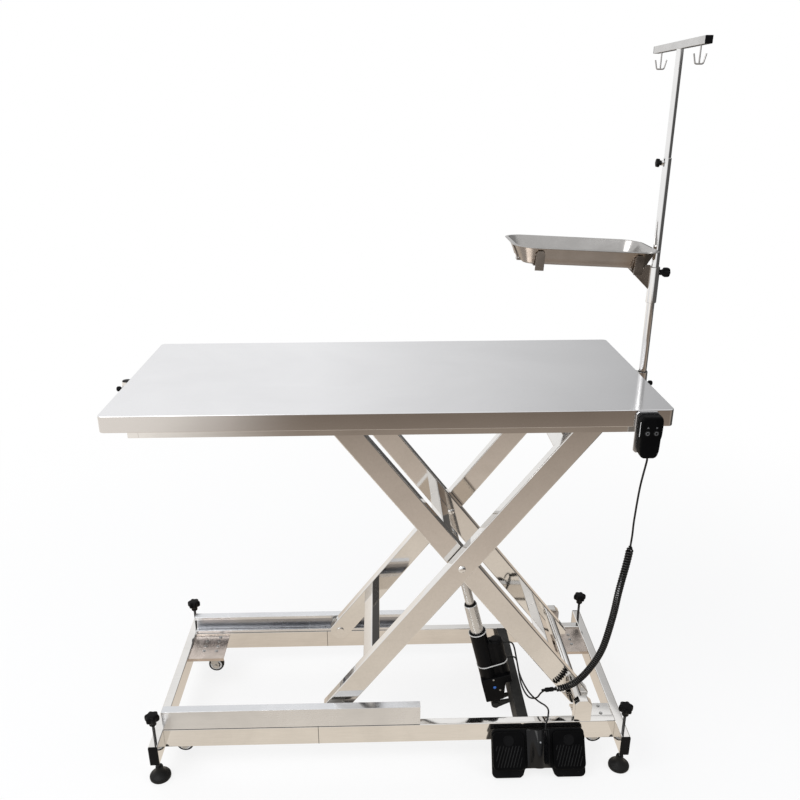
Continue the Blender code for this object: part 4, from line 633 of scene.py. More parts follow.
def make_thread():
    """A stack of thread crests along Z above every point."""
    tree, given, out = shape_tool("thread", Radius="Float", Pitch="Float", Count="Int")
    step = wire(tree, "ShaderNodeCombineXYZ", {"Z": (given, "Pitch")})
    line = wire(tree, "GeometryNodeMeshLine", {"Count": (given, "Count"), "Offset": (step, "Vector")})
    crest = wire(tree, "GeometryNodeCurvePrimitiveCircle", {"Resolution": 18, "Radius": (given, "Radius")})
    section = wire(tree, "GeometryNodeCurvePrimitiveCircle",
                   {"Resolution": 4, "Radius": maths(tree, "MULTIPLY", (given, "Pitch"), 0.42)})
    ring = wire(tree, "GeometryNodeCurveToMesh",
                {"Curve": (crest, "Curve"), "Profile Curve": (section, "Curve")})
    stack = wire(tree, "GeometryNodeInstanceOnPoints", {"Points": (line, "Mesh"), "Instance": (ring, "Mesh")})
    stacks = wire(tree, "GeometryNodeInstanceOnPoints",
                  {"Points": (given, "Geometry"), "Instance": (stack, "Instances")})
    return close_tool(tree, given, out, (stacks, "Instances"))


TOOLS = {"path_tube": make_path_tube(), "fasteners": make_fasteners(), "thread": make_thread()}


def grown(name, tool, points, edges, finish, body, facing=None, nodes=(), **sizes):
    """Run a geometry node tool on points and edges, and keep the result as a plain mesh.

    Facing is the one direction of all its fasteners.
    """
    mesh = bpy.data.meshes.new(name)
    mesh.from_pydata(in_frame(points), edges, [])
    if facing:
        stored = mesh.attributes.new("facing", "FLOAT_VECTOR", "POINT")
        stored.data.foreach_set("vector", list(facing) * len(points))
    piece = placed(name, mesh)
    modifier = piece.modifiers.new(tool, "NODES")
    modifier.node_group = TOOLS[tool]
    sizes["Finish"] = FINISH[finish]
    for item in TOOLS[tool].interface.items_tree:
        if item.in_out == "INPUT" and item.name in sizes:
            modifier[item.identifier] = sizes[item.name]
    bake(piece)
    smoothed(piece, 45)
    return dress(piece, body, nodes)


def wires(name, paths, finish, body, radius, sides, nodes=()):
    """Round wires along several paths, as one piece."""
    points = []
    edges = []
    for path in paths:
        start = len(points)
        edges += [(start + k, start + k + 1) for k in range(len(path) - 1)]
        points += path
    return grown(name, "path_tube", points, edges, finish, body, nodes=nodes, Radius=radius, Sides=sides)


def bolts(name, spots, direction, body, radius, height, sides):
    """Bolt heads that face one way."""
    grown(name, "fasteners", spots, [], "zinc", body, direction, Radius=radius, Height=height, Sides=sides)


# Camera and stage
def make_camera():
    """The photograph's view, with its tilt kept and the frame shifted down."""
    data = bpy.data.cameras.new("photo_view")
    data.sensor_width = SENSOR
    data.lens = FOCAL_PIXELS / FRAME_PIXELS * SENSOR
    data.shift_y = PRINCIPAL_DROP / FRAME_PIXELS
    data.clip_end = 100.0
    ahead = Vector((-math.sin(EYE_YAW) * math.cos(EYE_PITCH), math.cos(EYE_YAW) * math.cos(EYE_PITCH),
                    -math.sin(EYE_PITCH)))
    right = Vector((math.cos(EYE_YAW), math.sin(EYE_YAW), 0.0))
    up = right.cross(ahead)
    turned_right = math.cos(EYE_ROLL) * right + math.sin(EYE_ROLL) * up
    turned_up = -math.sin(EYE_ROLL) * right + math.cos(EYE_ROLL) * up
    camera = placed("photo_view", data)
    axes = Matrix((turned_right, turned_up, -ahead)).transposed()
    camera.matrix_world = Matrix.Translation(EYE) @ axes.to_4x4()
    bpy.context.scene.camera = camera


def make_world():
    """White surroundings for the camera and for reflections, and a softer fill for the rest."""
    world = bpy.data.worlds.new("studio")
    bpy.context.scene.world = world
    world.use_nodes = True
    tree = world.node_tree
    tree.nodes.clear()
    ray = wire(tree, "ShaderNodeLightPath")
    seen = maths(tree, "MAXIMUM", (ray, "Is Camera Ray"), (ray, "Is Glossy Ray"))
    seen = maths(tree, "MAXIMUM", seen, (ray, "Is Transmission Ray"))
    fill = wire(tree, "ShaderNodeBackground", {"Color": (0.93, 0.95, 1.0, 1.0), "Strength": 0.62})
    white = wire(tree, "ShaderNodeBackground", {"Color": (1.0, 1.0, 1.0, 1.0), "Strength": 1.0})
    both = wire(tree, "ShaderNodeMixShader", {0: seen, 1: (fill, "Background"), 2: (white, "Background")})
    wire(tree, "ShaderNodeOutputWorld", {"Surface": (both, "Shader")})


def make_lamp(name, place, target, size, power, reflected):
    """A soft box that looks at a point, and that polished metal may show."""
    data = bpy.data.lights.new(name, "AREA")
    data.shape = "RECTANGLE"
    data.size, data.size_y = size
    data.energy = power
    lamp = placed(name, data)
    lamp.location = place
    lamp.rotation_euler = (Vector(target) - Vector(place)).to_track_quat("-Z", "Y").to_euler()
    lamp.visible_camera = False
    lamp.visible_glossy = reflected


def stage_piece(name, points, faces, finish, reflected_only=True):
    """A piece of the stage, which may be there for reflections alone."""
    mesh = bpy.data.meshes.new(name)
    mesh.from_pydata(points, [], faces)
    mesh.materials.append(finish)
    piece = placed(name, mesh)
    if reflected_only:
        for ray in ("camera", "diffuse", "shadow", "transmission"):
            setattr(piece, f"visible_{ray}", False)


def bare_finish(name):
    """A material with no nodes, and the X, Y and Z of each of its points on the stage."""
    finish, tree = new_finish(name)
    tree.nodes.clear()
    spot = wire(tree, "ShaderNodeSeparateXYZ", {"Vector": here(tree)})
    return finish, tree, [(spot, axis) for axis in "XYZ"]


def glowing(tree, colour):
    """An even glow of a colour."""
    return wire(tree, "ShaderNodeEmission", {"Color": colour, "Strength": 1.0}), "Emission"


def floor_finish():
    """Pale floor that keeps its shadows by the table and fades into the white surroundings."""
    finish, tree = new_finish("floor")
    tree.nodes.clear()
    ray = wire(tree, "ShaderNodeLightPath")
    reach = wire(tree, "ShaderNodeVectorMath", {0: here(tree)}, operation="LENGTH")
    share = spread(tree, (reach, "Value"), *FADE, 0.80, 1.0, smooth=True)
    seen = maths(tree, "MAXIMUM", (ray, "Is Camera Ray"), (ray, "Is Transmission Ray"))
    matt = wire(tree, "ShaderNodeBsdfDiffuse", {"Color": (0.93, 0.93, 0.93, 1.0)})
    both = wire(tree, "ShaderNodeMixShader", {0: maths(tree, "MULTIPLY", share, seen), 1: (matt, "BSDF"),
                                              2: glowing(tree, (1.0, 1.0, 1.0, 1.0))})
    wire(tree, "ShaderNodeOutputMaterial", {"Surface": (both, "Shader")})
    return finish


def card_finish():
    """Warm glowing sheet on the floor that only reflections show: bright by the table and on the left, darker
    under the table as painted shade, dim far in front and on the right.
    """
    finish, tree, (x, y, _) = bare_finish("warm_card")
    # The last stop, under the table, is painted shade of the table on the floor.
    depth = tone_of(tree, spread(tree, y, -3.2, 0.4), (0.23, 0.185, 0.15), (0.66, 0.565, 0.47))
    for share, tone in ((0.5, (0.58, 0.50, 0.43)), (0.8, (0.82, 0.745, 0.65))):
        depth[0].color_ramp.elements.new(share).color = (*tone, 1.0)
    left = spread(tree, x, -0.4, -1.5, smooth=True)
    right = spread(tree, x, 0.9, 1.6, smooth=True)
    beside = spread(tree, y, -2.2, -1.2, smooth=True)
    tone = blended(tree, left, depth, (1.0, 0.96, 0.91, 1.0))
    tone = blended(tree, maths(tree, "MULTIPLY", right, beside), tone, (0.10, 0.096, 0.092, 1.0))
    wire(tree, "ShaderNodeOutputMaterial", {"Surface": glowing(tree, tone)})
    return finish


def wall_finish():
    """Studio wall, white at the left and greyer to the right, with a dark band low on the right."""
    finish, tree, (x, _, z) = bare_finish("studio_wall")
    right = spread(tree, x, 0.8, 2.4, smooth=True)
    low = spread(tree, z, 2.45, 2.05, smooth=True)
    slope = spread(tree, x, -0.7, 3.2, high=0.58)
    shade = maths(tree, "MAXIMUM", maths(tree, "MULTIPLY", right, low), slope)
    tone = tone_of(tree, shade, (1.0, 1.0, 1.0), (0.09, 0.088, 0.087))
    wire(tree, "ShaderNodeOutputMaterial", {"Surface": glowing(tree, tone)})
    return finish


def make_stage():
    """Pale floor, a warm card and a studio wall that only reflections show, and the soft boxes."""
    square = [(a * FLOOR_REACH, b * FLOOR_REACH) for a, b in ((-1, -1), (1, -1), (1, 1), (-1, 1))]
    sheet = [(0, 1, 2, 3)]
    stage_piece("floor", [(x, y, 0.0) for x, y in square], sheet, floor_finish(), reflected_only=False)
    stage_piece("warm_card", [(x, y, 0.0006) for x, y in square], sheet, card_finish())
    ring = arc((0.0, 0.0), WALL_RADIUS, 0, 360, WALL_SIDES)[:-1]
    points = [(x, y, z) for z in (0.001, WALL_TOP) for x, y in ring]
    faces = []
    for k in range(WALL_SIDES):
        after = (k + 1) % WALL_SIDES
        faces.append((k, after, WALL_SIDES + after, WALL_SIDES + k))
    stage_piece("studio_wall", points, faces, wall_finish())
    make_lamp("key", (-1.9, -1.6, 3.3), (0.1, 0.0, 0.6), (2.4, 2.4), 62.0, True)
    make_lamp("back", (-2.3, 3.0, 2.5), (-0.3, 0.0, 1.0), (1.9, 1.5), 30.0, False)
    make_lamp("fill", (2.8, -1.8, 2.4), (0.0, 0.0, 0.6), (2.0, 2.0), 24.0, False)


# Cords
def smooth_path(points, step):
    """Points at an even spacing on a smooth curve through the given ones."""
    points = [Vector(p) for p in points]
    dense = []
    for k in range(len(points) - 1):
        p0 = points[max(k - 1, 0)]
        p1, p2 = points[k], points[k + 1]
        p3 = points[min(k + 2, len(points) - 1)]
        for s in range(40):
            t = s / 40
            dense.append(0.5 * (2 * p1 + (p2 - p0) * t + (2 * p0 - 5 * p1 + 4 * p2 - p3) * t ** 2
                                + (3 * p1 - p0 - 3 * p2 + p3) * t ** 3))
    dense.append(points[-1])
    lengths = [0.0]
    for a, b in zip(dense, dense[1:]):
        lengths.append(lengths[-1] + (b - a).length)
    count = max(2, round(lengths[-1] / step))
    path = []
    k = 0
    for n in range(count + 1):
        want = lengths[-1] * n / count
        while k < len(lengths) - 2 and lengths[k + 1] < want:
            k += 1
        path.append(dense[k].lerp(dense[k + 1], (want - lengths[k]) / (lengths[k + 1] - lengths[k])))
    return path


def curl(points):
    """Wind a path into a close helix that grows out of the path and back into it."""
    path = smooth_path(points, 0.001)
    count = CURL_COUNT * CURL_POINTS
    across = Vector((1, 0, 0))
    out = []
    for n in range(count + 1):
        share = n / count
        spot = share * (len(path) - 1)
        k = min(int(spot), len(path) - 2)
        centre = path[k].lerp(path[k + 1], spot - k)
        along = (path[k + 1] - path[k]).normalized()
        across = (across - along * across.dot(along)).normalized()
        grown_by = CURL_RADIUS * min(1.0, share * CURL_COUNT / 2, (1 - share) * CURL_COUNT / 2)
        angle = 2 * math.pi * n / CURL_POINTS
        out.append(centre + grown_by * (math.cos(angle) * across + math.sin(angle) * along.cross(across)))
    return out


def shade_inside(piece, axis):
    """Mark the faces of a coil that look at its own axis, which lie in its shade."""
    near = KDTree(len(axis))
    for k, point in enumerate(axis):
        near.insert(point, k)
    near.balance()

    def inside(face):
        spot, _, gap = near.find(face.center)
        return gap < CURL_RADIUS + 2 * WIRE_RADIUS and (face.center - spot).dot(face.normal) < 0.0

    mark_faces(piece, "inner", inside)


def motor_point(along, clear):
    """A point beside the motor can, from its place along the actuator and its distance from the can."""
    pin = joint_at["actuator_tilt"]
    axis = joint_axis["actuator_stroke"]
    across = MOTOR_SIDE + clear
    return Vector((pin.x + along * axis.x + across * axis.z, pin.y - MIDDLE_Y,
                   pin.z + along * axis.z - across * axis.x))


def pedal_point(x, back, height):
    """A point at the pedal's rear, from its place across, behind and above the pedal's base."""
    return PEDAL_FRAME @ Vector((x, back, height))


# Table top and sub-frame
def make_table():
    """Folded sheet pan, its sub-frame and channels."""
    top = top_high.z
    skirt = top_low.z
    steps = arc((TOP_EDGE, top - TOP_EDGE), TOP_EDGE, 90, 180, 6)
    steps += arc((TOP_SHEET, skirt + TOP_SHEET), TOP_SHEET, 180, 270, 4)
    steps += [(SKIRT_RETURN, skirt), (SKIRT_RETURN, skirt + TOP_SHEET), (TOP_SHEET, skirt + TOP_SHEET),
              (TOP_SHEET, top - TOP_SHEET)]
    sheet = pressed(steps, TABLE_END, TABLE_SIDE, TOP_CORNER, 8, least=TOP_CORNER / 4)
    # The skirt and underside take the top's darker outer tones, painted shade.
    mark_painted_sides(settle("sheet_top", sheet, "top", "table", ("table_top",)))
    eased("subframe", "polished", 0.0012)
    low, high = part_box("subframe")
    reach = (high.y - low.y) / 2
    tall = TUBE_HEIGHT / 2
    for name, side in SIDES:
        eased(f"upper_channel_{name}", "channel", 0.0006)
        for end_name, end in ENDS:
            cap = bar("Y", side * (reach - 0.002), side * (reach + SEAT), TUBE_HALF - SEAT, tall - SEAT,
                      (end * (high.x - TUBE_HALF), high.z - tall), 0.0010)
            settle(f"subframe_cap_{name}_{end_name}", cap, "polished", "table", ease=0.0004)


# Base
end_low, end_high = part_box("base_end_left")
RAIL_LOW = end_low.z
RAIL_TOP = end_high.z
RAIL_MIDDLE = (RAIL_LOW + RAIL_TOP) / 2
RAIL_HALF = (RAIL_TOP - RAIL_LOW) / 2
PLATE_SHEET = 0.002
PLATE_DROP = 0.006
PLATE_LIP = 0.010
PLATE_LENGTH = 0.110
PLATE_WALL = 0.2072        # the plates' edges at the rails, from the table's middle plane
PLATE_WIDTH = {-1: 0.054, 1: 0.123}
PLATE_BOLTS = {-1: ((0.030, (0.012, 0.042)), (0.082, (0.012, 0.042))),
               1: ((0.042, (0.036, 0.061, 0.085)), (0.081, (0.015, 0.037, 0.062, 0.086)))}


def make_base():
    """Rails with their brackets, end tubes with plugs and caster plates, cross tube and channels."""
    for name, side in SIDES:
        low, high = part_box(f"base_rail_{name}")
        y = (low.y + high.y) / 2 - MIDDLE_Y
        half_y = (high.y - low.y) / 2
        rail = bar("X", low.x, high.x, half_y, RAIL_HALF, (y, RAIL_MIDDLE))
        settle(f"rail_{name}", rail, "polished", "base", (f"base_rail_{name}",))
        corners = mirrored([(-BRACKET_HALF, RAIL_TOP), (-BRACKET_HALF, high.z - BRACKET_CUT),
                            (BRACKET_CUT - BRACKET_HALF, high.z)])
        bracket = prism([(LOW_PIVOT.x + x, z) for x, z in corners], "Y", y - half_y, y + half_y)
        settle(f"pivot_bracket_{name}", bracket, "polished", "base", ease=0.0012)
        make_roller_channel(name, side, y - half_y)
    for name, side in ENDS:
        place = (side * (TABLE_END - TUBE_HALF), RAIL_MIDDLE)
        reach = TABLE_SIDE - PLUG_DEPTH
        settle(f"end_tube_{name}", bar("Y", -reach, reach, TUBE_HALF, RAIL_HALF, place), "polished", "base",
               (f"base_end_{name}",))
        for y_name, y_side in SIDES:
            cap = bar("Y", y_side * reach, y_side * TABLE_SIDE, TUBE_HALF, RAIL_HALF, place, 0.0025)
            settle(f"tube_plug_{y_name}_{name}", cap, "black", "base", ease=0.0010)
            make_caster_plate(f"{y_name}_{name}", side, y_side)
    # The cross tube takes the near-black finish, a painted dark reflection.
    eased("base_cross_tube", "dim", 0.0010)


def make_roller_channel(name, side, face):
    """Channel on a rail, with a dark strip in the joint between them as painted shadow of the gap, and a dark
    sheet in its back as painted shade.
    """
    eased(f"roller_channel_{name}", "channel", 0.0007)
    low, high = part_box(f"roller_channel_{name}")
    # The strip along the joint between channel and rail is painted shadow of the gap; the strip across the
    # rail is a dark seam line.
    joint = bar("X", low.x + 0.001, high.x - 0.001, 0.0004, 0.0009, (face, RAIL_TOP + SEAT), SEAM_CORNER)
    weld = bar("Z", RAIL_LOW + 0.001, RAIL_TOP - 0.001, 0.0007, 0.0003, (RAIL_SEAM_X, face), SEAM_CORNER)
    settle(f"channel_gap_shadow_and_seam_{name}", together(joint, weld), "rubber", "base")
    # A dark sheet lining the channel's back: painted shade.
    back = (low.y if side < 0 else high.y) - MIDDLE_Y - side * (CHANNEL_SHEET + SEAT)
    track = bar("X", low.x + 0.002, high.x - 0.002, 0.0003, (high.z - low.z) / 2 - CHANNEL_SHEET - 0.001,
                (back, (low.z + high.z) / 2), SEAM_CORNER)
    settle(f"channel_back_shade_{name}", track, "track", "base")


def make_caster_plate(corner, x_side, y_side):
    """Folded plate in a corner of the base with its rows of bolts."""
    top = RAIL_TOP - PLATE_DROP
    under = top - PLATE_SHEET
    free = PLATE_WALL - PLATE_WIDTH[y_side]
    fold = free + PLATE_SHEET
    inner = TABLE_END - 2 * TUBE_HALF
    section = [(PLATE_WALL, top), (PLATE_WALL, under), (fold, under), (fold, top - PLATE_LIP),
               (free, top - PLATE_LIP), (free, top)]
    plate = prism([(y_side * y, z) for y, z in section], "X", x_side * (inner - PLATE_LENGTH), x_side * inner)
    # The rear plates take the darker copy of the steel, painted shade.
    settle(f"caster_plate_{corner}", plate, "polished" if y_side < 0 else "plate", "base", ease=0.0006)
    spots = [(x_side * (inner - across), y_side * (PLATE_WALL - down), top + 0.0002)
             for across, downs in PLATE_BOLTS[y_side] for down in downs]
    bolts(f"plate_bolts_{corner}", spots, (0, 0, 1), "base", 0.0040, 0.003, 20)


# Feet
KNOB_PROFILE = ((0.0, 0.0086), (0.0012, 0.0095), (0.008, 0.0098), (0.012, 0.0120, 0.03),
                (0.0145, 0.0158, 0.10), (0.0165, 0.0172, 0.13), (0.021, 0.0177, 0.13), (0.0275, 0.0176, 0.13),
                (0.0305, 0.0168, 0.12), (0.0325, 0.0150, 0.10), (0.0336, 0.0120, 0.05), (0.0340, 0.0060, 0.0))
FOOT_PROFILE = ((0.0, 0.0250), (0.0008, 0.0272), (0.0030, 0.0286), (0.0065, 0.0290), (0.0100, 0.0286),
                (0.0125, 0.0272), (0.0140, 0.0252), (0.0165, 0.0212), (0.0200, 0.0172), (0.0240, 0.0140),
                (0.0285, 0.0117), (0.0330, 0.0106), (0.0390, 0.0101), (0.0407, 0.0096), (0.0410, 0.0086),
                (0.0410, 0.0043), (0.0210, 0.0043))
STEM_RADIUS = 0.0037
THREAD_RADIUS = 0.0034
THREAD_PITCH = 0.00125


def make_feet():
    """Levelling screws with star knobs and bell feet, and the swivel casters."""
    for corner in CORNERS:
        low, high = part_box(f"leveller_screw_{corner}")
        spot = ((low.x + high.x) / 2, (low.y + high.y) / 2 - MIDDLE_Y)
        body = f"leveller_{corner}"
        knob_z = high.z - KNOB_PROFILE[-1][0]
        profile = [(low.z, 0.0033), (low.z + 0.0008, STEM_RADIUS), (knob_z + 0.002, STEM_RADIUS)]
        stem = turned(profile, "Z", spot, 24)
        settle(f"screw_stem_{corner}", stem, "stem", body, (f"leveller_screw_{corner}",))
        count = int((knob_z - low.z - 0.003) / THREAD_PITCH)
        grown(f"screw_thread_{corner}", "thread", [(*spot, low.z + 0.0015)], [], "stem", body,
              Radius=THREAD_RADIUS, Pitch=THREAD_PITCH, Count=count)
        knob = turned([(knob_z + z, *rest) for z, *rest in KNOB_PROFILE], "Z", spot, 96)
        settle(f"star_knob_{corner}", knob, "black", body, smooth=50)
        foot = turned(FOOT_PROFILE, "Z", spot, 64)
        settle(f"bell_foot_{corner}", foot, "rubber", body, (f"leveller_foot_{corner}",), smooth=50)
        make_caster(corner)


def make_caster(corner):
    """Pressed fork, black tyre, pale ring, dark web and bright hub."""
    eased(f"caster_fork_{corner}", "zinc", 0.0007)
    node = f"caster_wheel_{corner}"
    hub, half = node_place(node)
    radius = half.z
    tyre_in = radius * 0.76
    ring_in = radius * 0.52
    tyre = mirrored([(-0.88, tyre_in), (-0.95, radius * 0.86), (-0.84, radius * 0.95),
                     (-0.45, radius * 0.99)], [(0.0, radius)])
    ring = mirrored([(-0.82, tyre_in + 0.0003), (-0.90, tyre_in - 0.0008), (-0.86, ring_in)])
    web = mirrored([(-0.60, radius * 0.34), (-0.60, ring_in + 0.0004)])
    boss = mirrored([(-0.99, 0.0043), (-0.99, radius * 0.28), (-0.93, radius * 0.34), (-0.84, radius * 0.38)])
    for name, shares, finish, sides, smooth, nodes in (
            ("tyre", tyre, "rubber", 64, 50, (node,)), ("wheel_ring", ring, "tie", 64, 40, ()),
            ("wheel_web", web, "rubber", 64, 38, ()), ("wheel_hub", boss, "pole", 48, 40, ())):
        profile = [(hub.y + half.y * share, reach) for share, reach in shares]
        shape = turned(profile, "Y", (hub.x, hub.z), sides, ring=True)
        settle(f"{name}_{corner}", shape, finish, f"wheel_{corner}", nodes, smooth=smooth)


# Scissor
def leg_place(joint, angle):
    """Matrix from a leg's own axes, X along it, to the table's middle plane."""
    origin = joint_at[joint]
    return Matrix.Translation((origin.x, 0.0, origin.z)) @ Matrix.Rotation(angle, 4, "Y")


def leg_pair(low, high, back, crosses):
    """Two mirror-polished tube legs, cut at their lower corners and round on top, with their cross tubes."""
    shapes = []
    start = low - LEG_OVERHANG
    half = LEG_HALF_WIDTH
    for side in (-1, 1):
        leg = bar("X", start, high + half, LEG_THICK / 2, half, (side * (back + LEG_THICK / 2), 0.0))
        for z in (-1, 1):
            clip(leg, (start + LEG_CHAMFER, 0.0, z * half), Vector((-1, 0.0, z)).normalized())
        for step in range(-5, 6):
            facing = Vector((math.cos(math.radians(15 * step)), 0.0, math.sin(math.radians(15 * step))))
            clip(leg, Vector((high, 0.0, 0.0)) + (half - SEAT) * facing, facing)
        shapes.append(leg)
    for along in crosses:
        shapes.append(bar("Y", -back, back, CROSS_ALONG / 2, CROSS_ACROSS / 2, (along, 0.0)))
    return together(*shapes)


def stub_axle(along, side, back, end):
    """Axle through a leg with a domed head behind it and a shoulder outside."""
    face = back + LEG_THICK
    profile = [(back - BOLT_HEAD, BOLT_HEAD_RADIUS * 0.6), (back - BOLT_HEAD * 0.7, BOLT_HEAD_RADIUS),
               (back + 0.001, BOLT_HEAD_RADIUS), (back + 0.001, 0.007), (face - 0.001, 0.007),
               (face - 0.001, 0.011), (end - 0.0227, 0.011), (end - 0.0227, 0.007), (end, 0.007)]
    return turned([(side * y, radius) for y, radius in profile], "Y", (along, 0.0), 40)


def make_scissor():
    """Inner and outer legs with their shafts, bolts and rollers."""
    inner = [leg_pair(0.0, 2 * LEG_HALF, INNER_BACK, (0.120, LEG_HALF + 0.065))]
    pin = LEG_HALF + EYE_AHEAD
    lug_y = joint_at["actuator_tilt"].y - MIDDLE_Y
    outline = [(LEG_HALF + 0.046, -EYE_RADIUS), (LEG_HALF + 0.046, EYE_RADIUS)]
    outline += arc((pin, 0.0), EYE_RADIUS, 90, 270, 20)
    for side in (-1, 1):
        inner.append(prism(outline, "Y", lug_y + side * 0.0105, lug_y + side * 0.0155))
        nut = ((0.0150, 0.0095), (0.0195, 0.0095), (0.0205, 0.0080))
        inner.append(turned([(lug_y + side * y, radius) for y, radius in nut], "Y", (pin, 0.0), 6))
        inner.append(stub_axle(2 * LEG_HALF, side, INNER_BACK, 0.1901))
    outer = [leg_pair(-LEG_HALF, LEG_HALF, OUTER_BACK, (0.170 - LEG_HALF, LEG_HALF - 0.150))]
    outer += [stub_axle(-LEG_HALF, side, OUTER_BACK, 0.2301) for side in (-1, 1)]
    for name, shapes, joint, angle in (("inner", inner, "lift", LEG_ANGLE - math.pi),
                                       ("outer", outer, "scissor", -LEG_ANGLE)):
        legs = moved(together(*shapes), leg_place(joint, angle))
        settle(f"{name}_legs_polished", legs, "leg", f"{name}_legs", (f"{name}_leg_frame",), ease=0.0007)
    for node, joint, body in (("lower_pivot_shaft", "lift", "inner_legs"),
                              ("upper_pivot_shaft", "table_level", "outer_legs")):
        low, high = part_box(node)
        reach = (high.y - low.y) / 2 - (BOLT_HEAD + 0.0008 if joint == "lift" else 0.0)
        profile = mirrored([(-reach, SHAFT_HEAD * 0.86), (-reach + 0.0012, SHAFT_HEAD),
                            (-reach + BOLT_HEAD, SHAFT_HEAD), (-reach + BOLT_HEAD, SHAFT_RADIUS)])
        centre = (joint_at[joint].x, joint_at[joint].z)
        settle(f"{node}_turned", turned(profile, "Y", centre, 56), "pole", body, (node,))
    for name, side in SIDES:
        make_centre_bolt(name, side)
        for level in ("upper", "lower"):
            make_roller(f"{level}_roller_{name}")


def make_centre_bolt(name, side):
    """Dome-headed bolt through a pair of legs, with a washer between them."""
    back = INNER_BACK - SEAT
    front = OUTER_BACK + LEG_THICK + SEAT
    between = (INNER_BACK + LEG_THICK + SEAT, OUTER_BACK - SEAT)
    angles = [math.pi * k / 16 for k in range(8)]
    dome = [(BOLT_HEAD * math.sin(a), DOME_RADIUS * math.cos(a)) for a in angles]
    profile = [(back - rise, radius) for rise, radius in reversed(dome)]
    profile += [(back, BOLT_SHANK), (between[0], BOLT_SHANK), (between[0], BOLT_HEAD_RADIUS),
                (between[1], BOLT_HEAD_RADIUS), (between[1], BOLT_SHANK), (front, BOLT_SHANK)]
    profile += [(front + rise, radius) for rise, radius in dome]
    shape = turned([(side * y, radius) for y, radius in profile], "Y", (CENTRE.x, CENTRE.z), 48)
    settle(f"dome_bolt_{name}", shape, "pole", "outer_legs", (f"centre_bolt_{name}",))


def make_roller(node):
    """Nylon roller with a rounded tread and a dished side."""
    middle, half = node_place(node)
    face = -half.y
    radius = half.z
    dish = face + 0.0015
    profile = mirrored([(face, 0.0073), (face, 0.0125), (dish, 0.0145), (dish, radius - 0.006),
                        (face, radius - 0.004), (face + 0.0006, radius - 0.0012), (face + 0.002, radius)])
    shape = turned([(middle.y + along, r) for along, r in profile], "Y", (middle.x, middle.z), 56, ring=True)
    settle(f"{node}_turned", shape, "nylon", body_of[node], (node,))


# Actuator
MOTOR_SIDE = 0.0648
GEARBOX = (0.024, 0.105)
GEARBOX_HALF = 0.028
SLEEVE_RADIUS = 0.0245
SLEEVE_END = 0.262
MOTOR_OFFSET = 0.0448
MOTOR_RADIUS = 0.0198
MOTOR_END = 0.225
# Steps of the motor can, as (from its end, in from its radius)
MOTOR_CAN = ((-0.012, 0.0), (-0.0118, 0.0006), (-0.0106, 0.0006), (-0.0104, 0.0), (-0.006, 0.0),
             (-0.003, 0.0015), (-0.0008, 0.0045), (0.0, 0.009))
TONGUE_RADIUS = 0.013
GUIDE = (0.1053, 0.3573)
GUIDE_RADIUS = 0.0185
GUIDE_BORE = 0.0128
ROD_START = 0.285
ROD_RADIUS = 0.0125
STRAP_HALF_WIDTH = 0.0016


def actuator_place():
    """Matrix from the actuator's own axes, X along it from its lower pin, to the table's middle plane."""
    pin = joint_at["actuator_tilt"]
    axis = joint_axis["actuator_stroke"]
    angle = math.atan2(axis.z, axis.x)
    return Matrix.Translation((pin.x, pin.y - MIDDLE_Y, pin.z)) @ Matrix.Rotation(-angle, 4, "Y")


def wrap_outline(rounds, clear):
    """Outline of a strap pulled tight round one or two circles of (centre, radius) on one line."""
    points = []
    for k in range(96):
        angle = 2 * math.pi * k / 96
        middle, radius = max(rounds, key=lambda item: item[0] * math.sin(angle) + item[1])
        points.append(((radius + clear) * math.cos(angle), middle + (radius + clear) * math.sin(angle)))
    return points


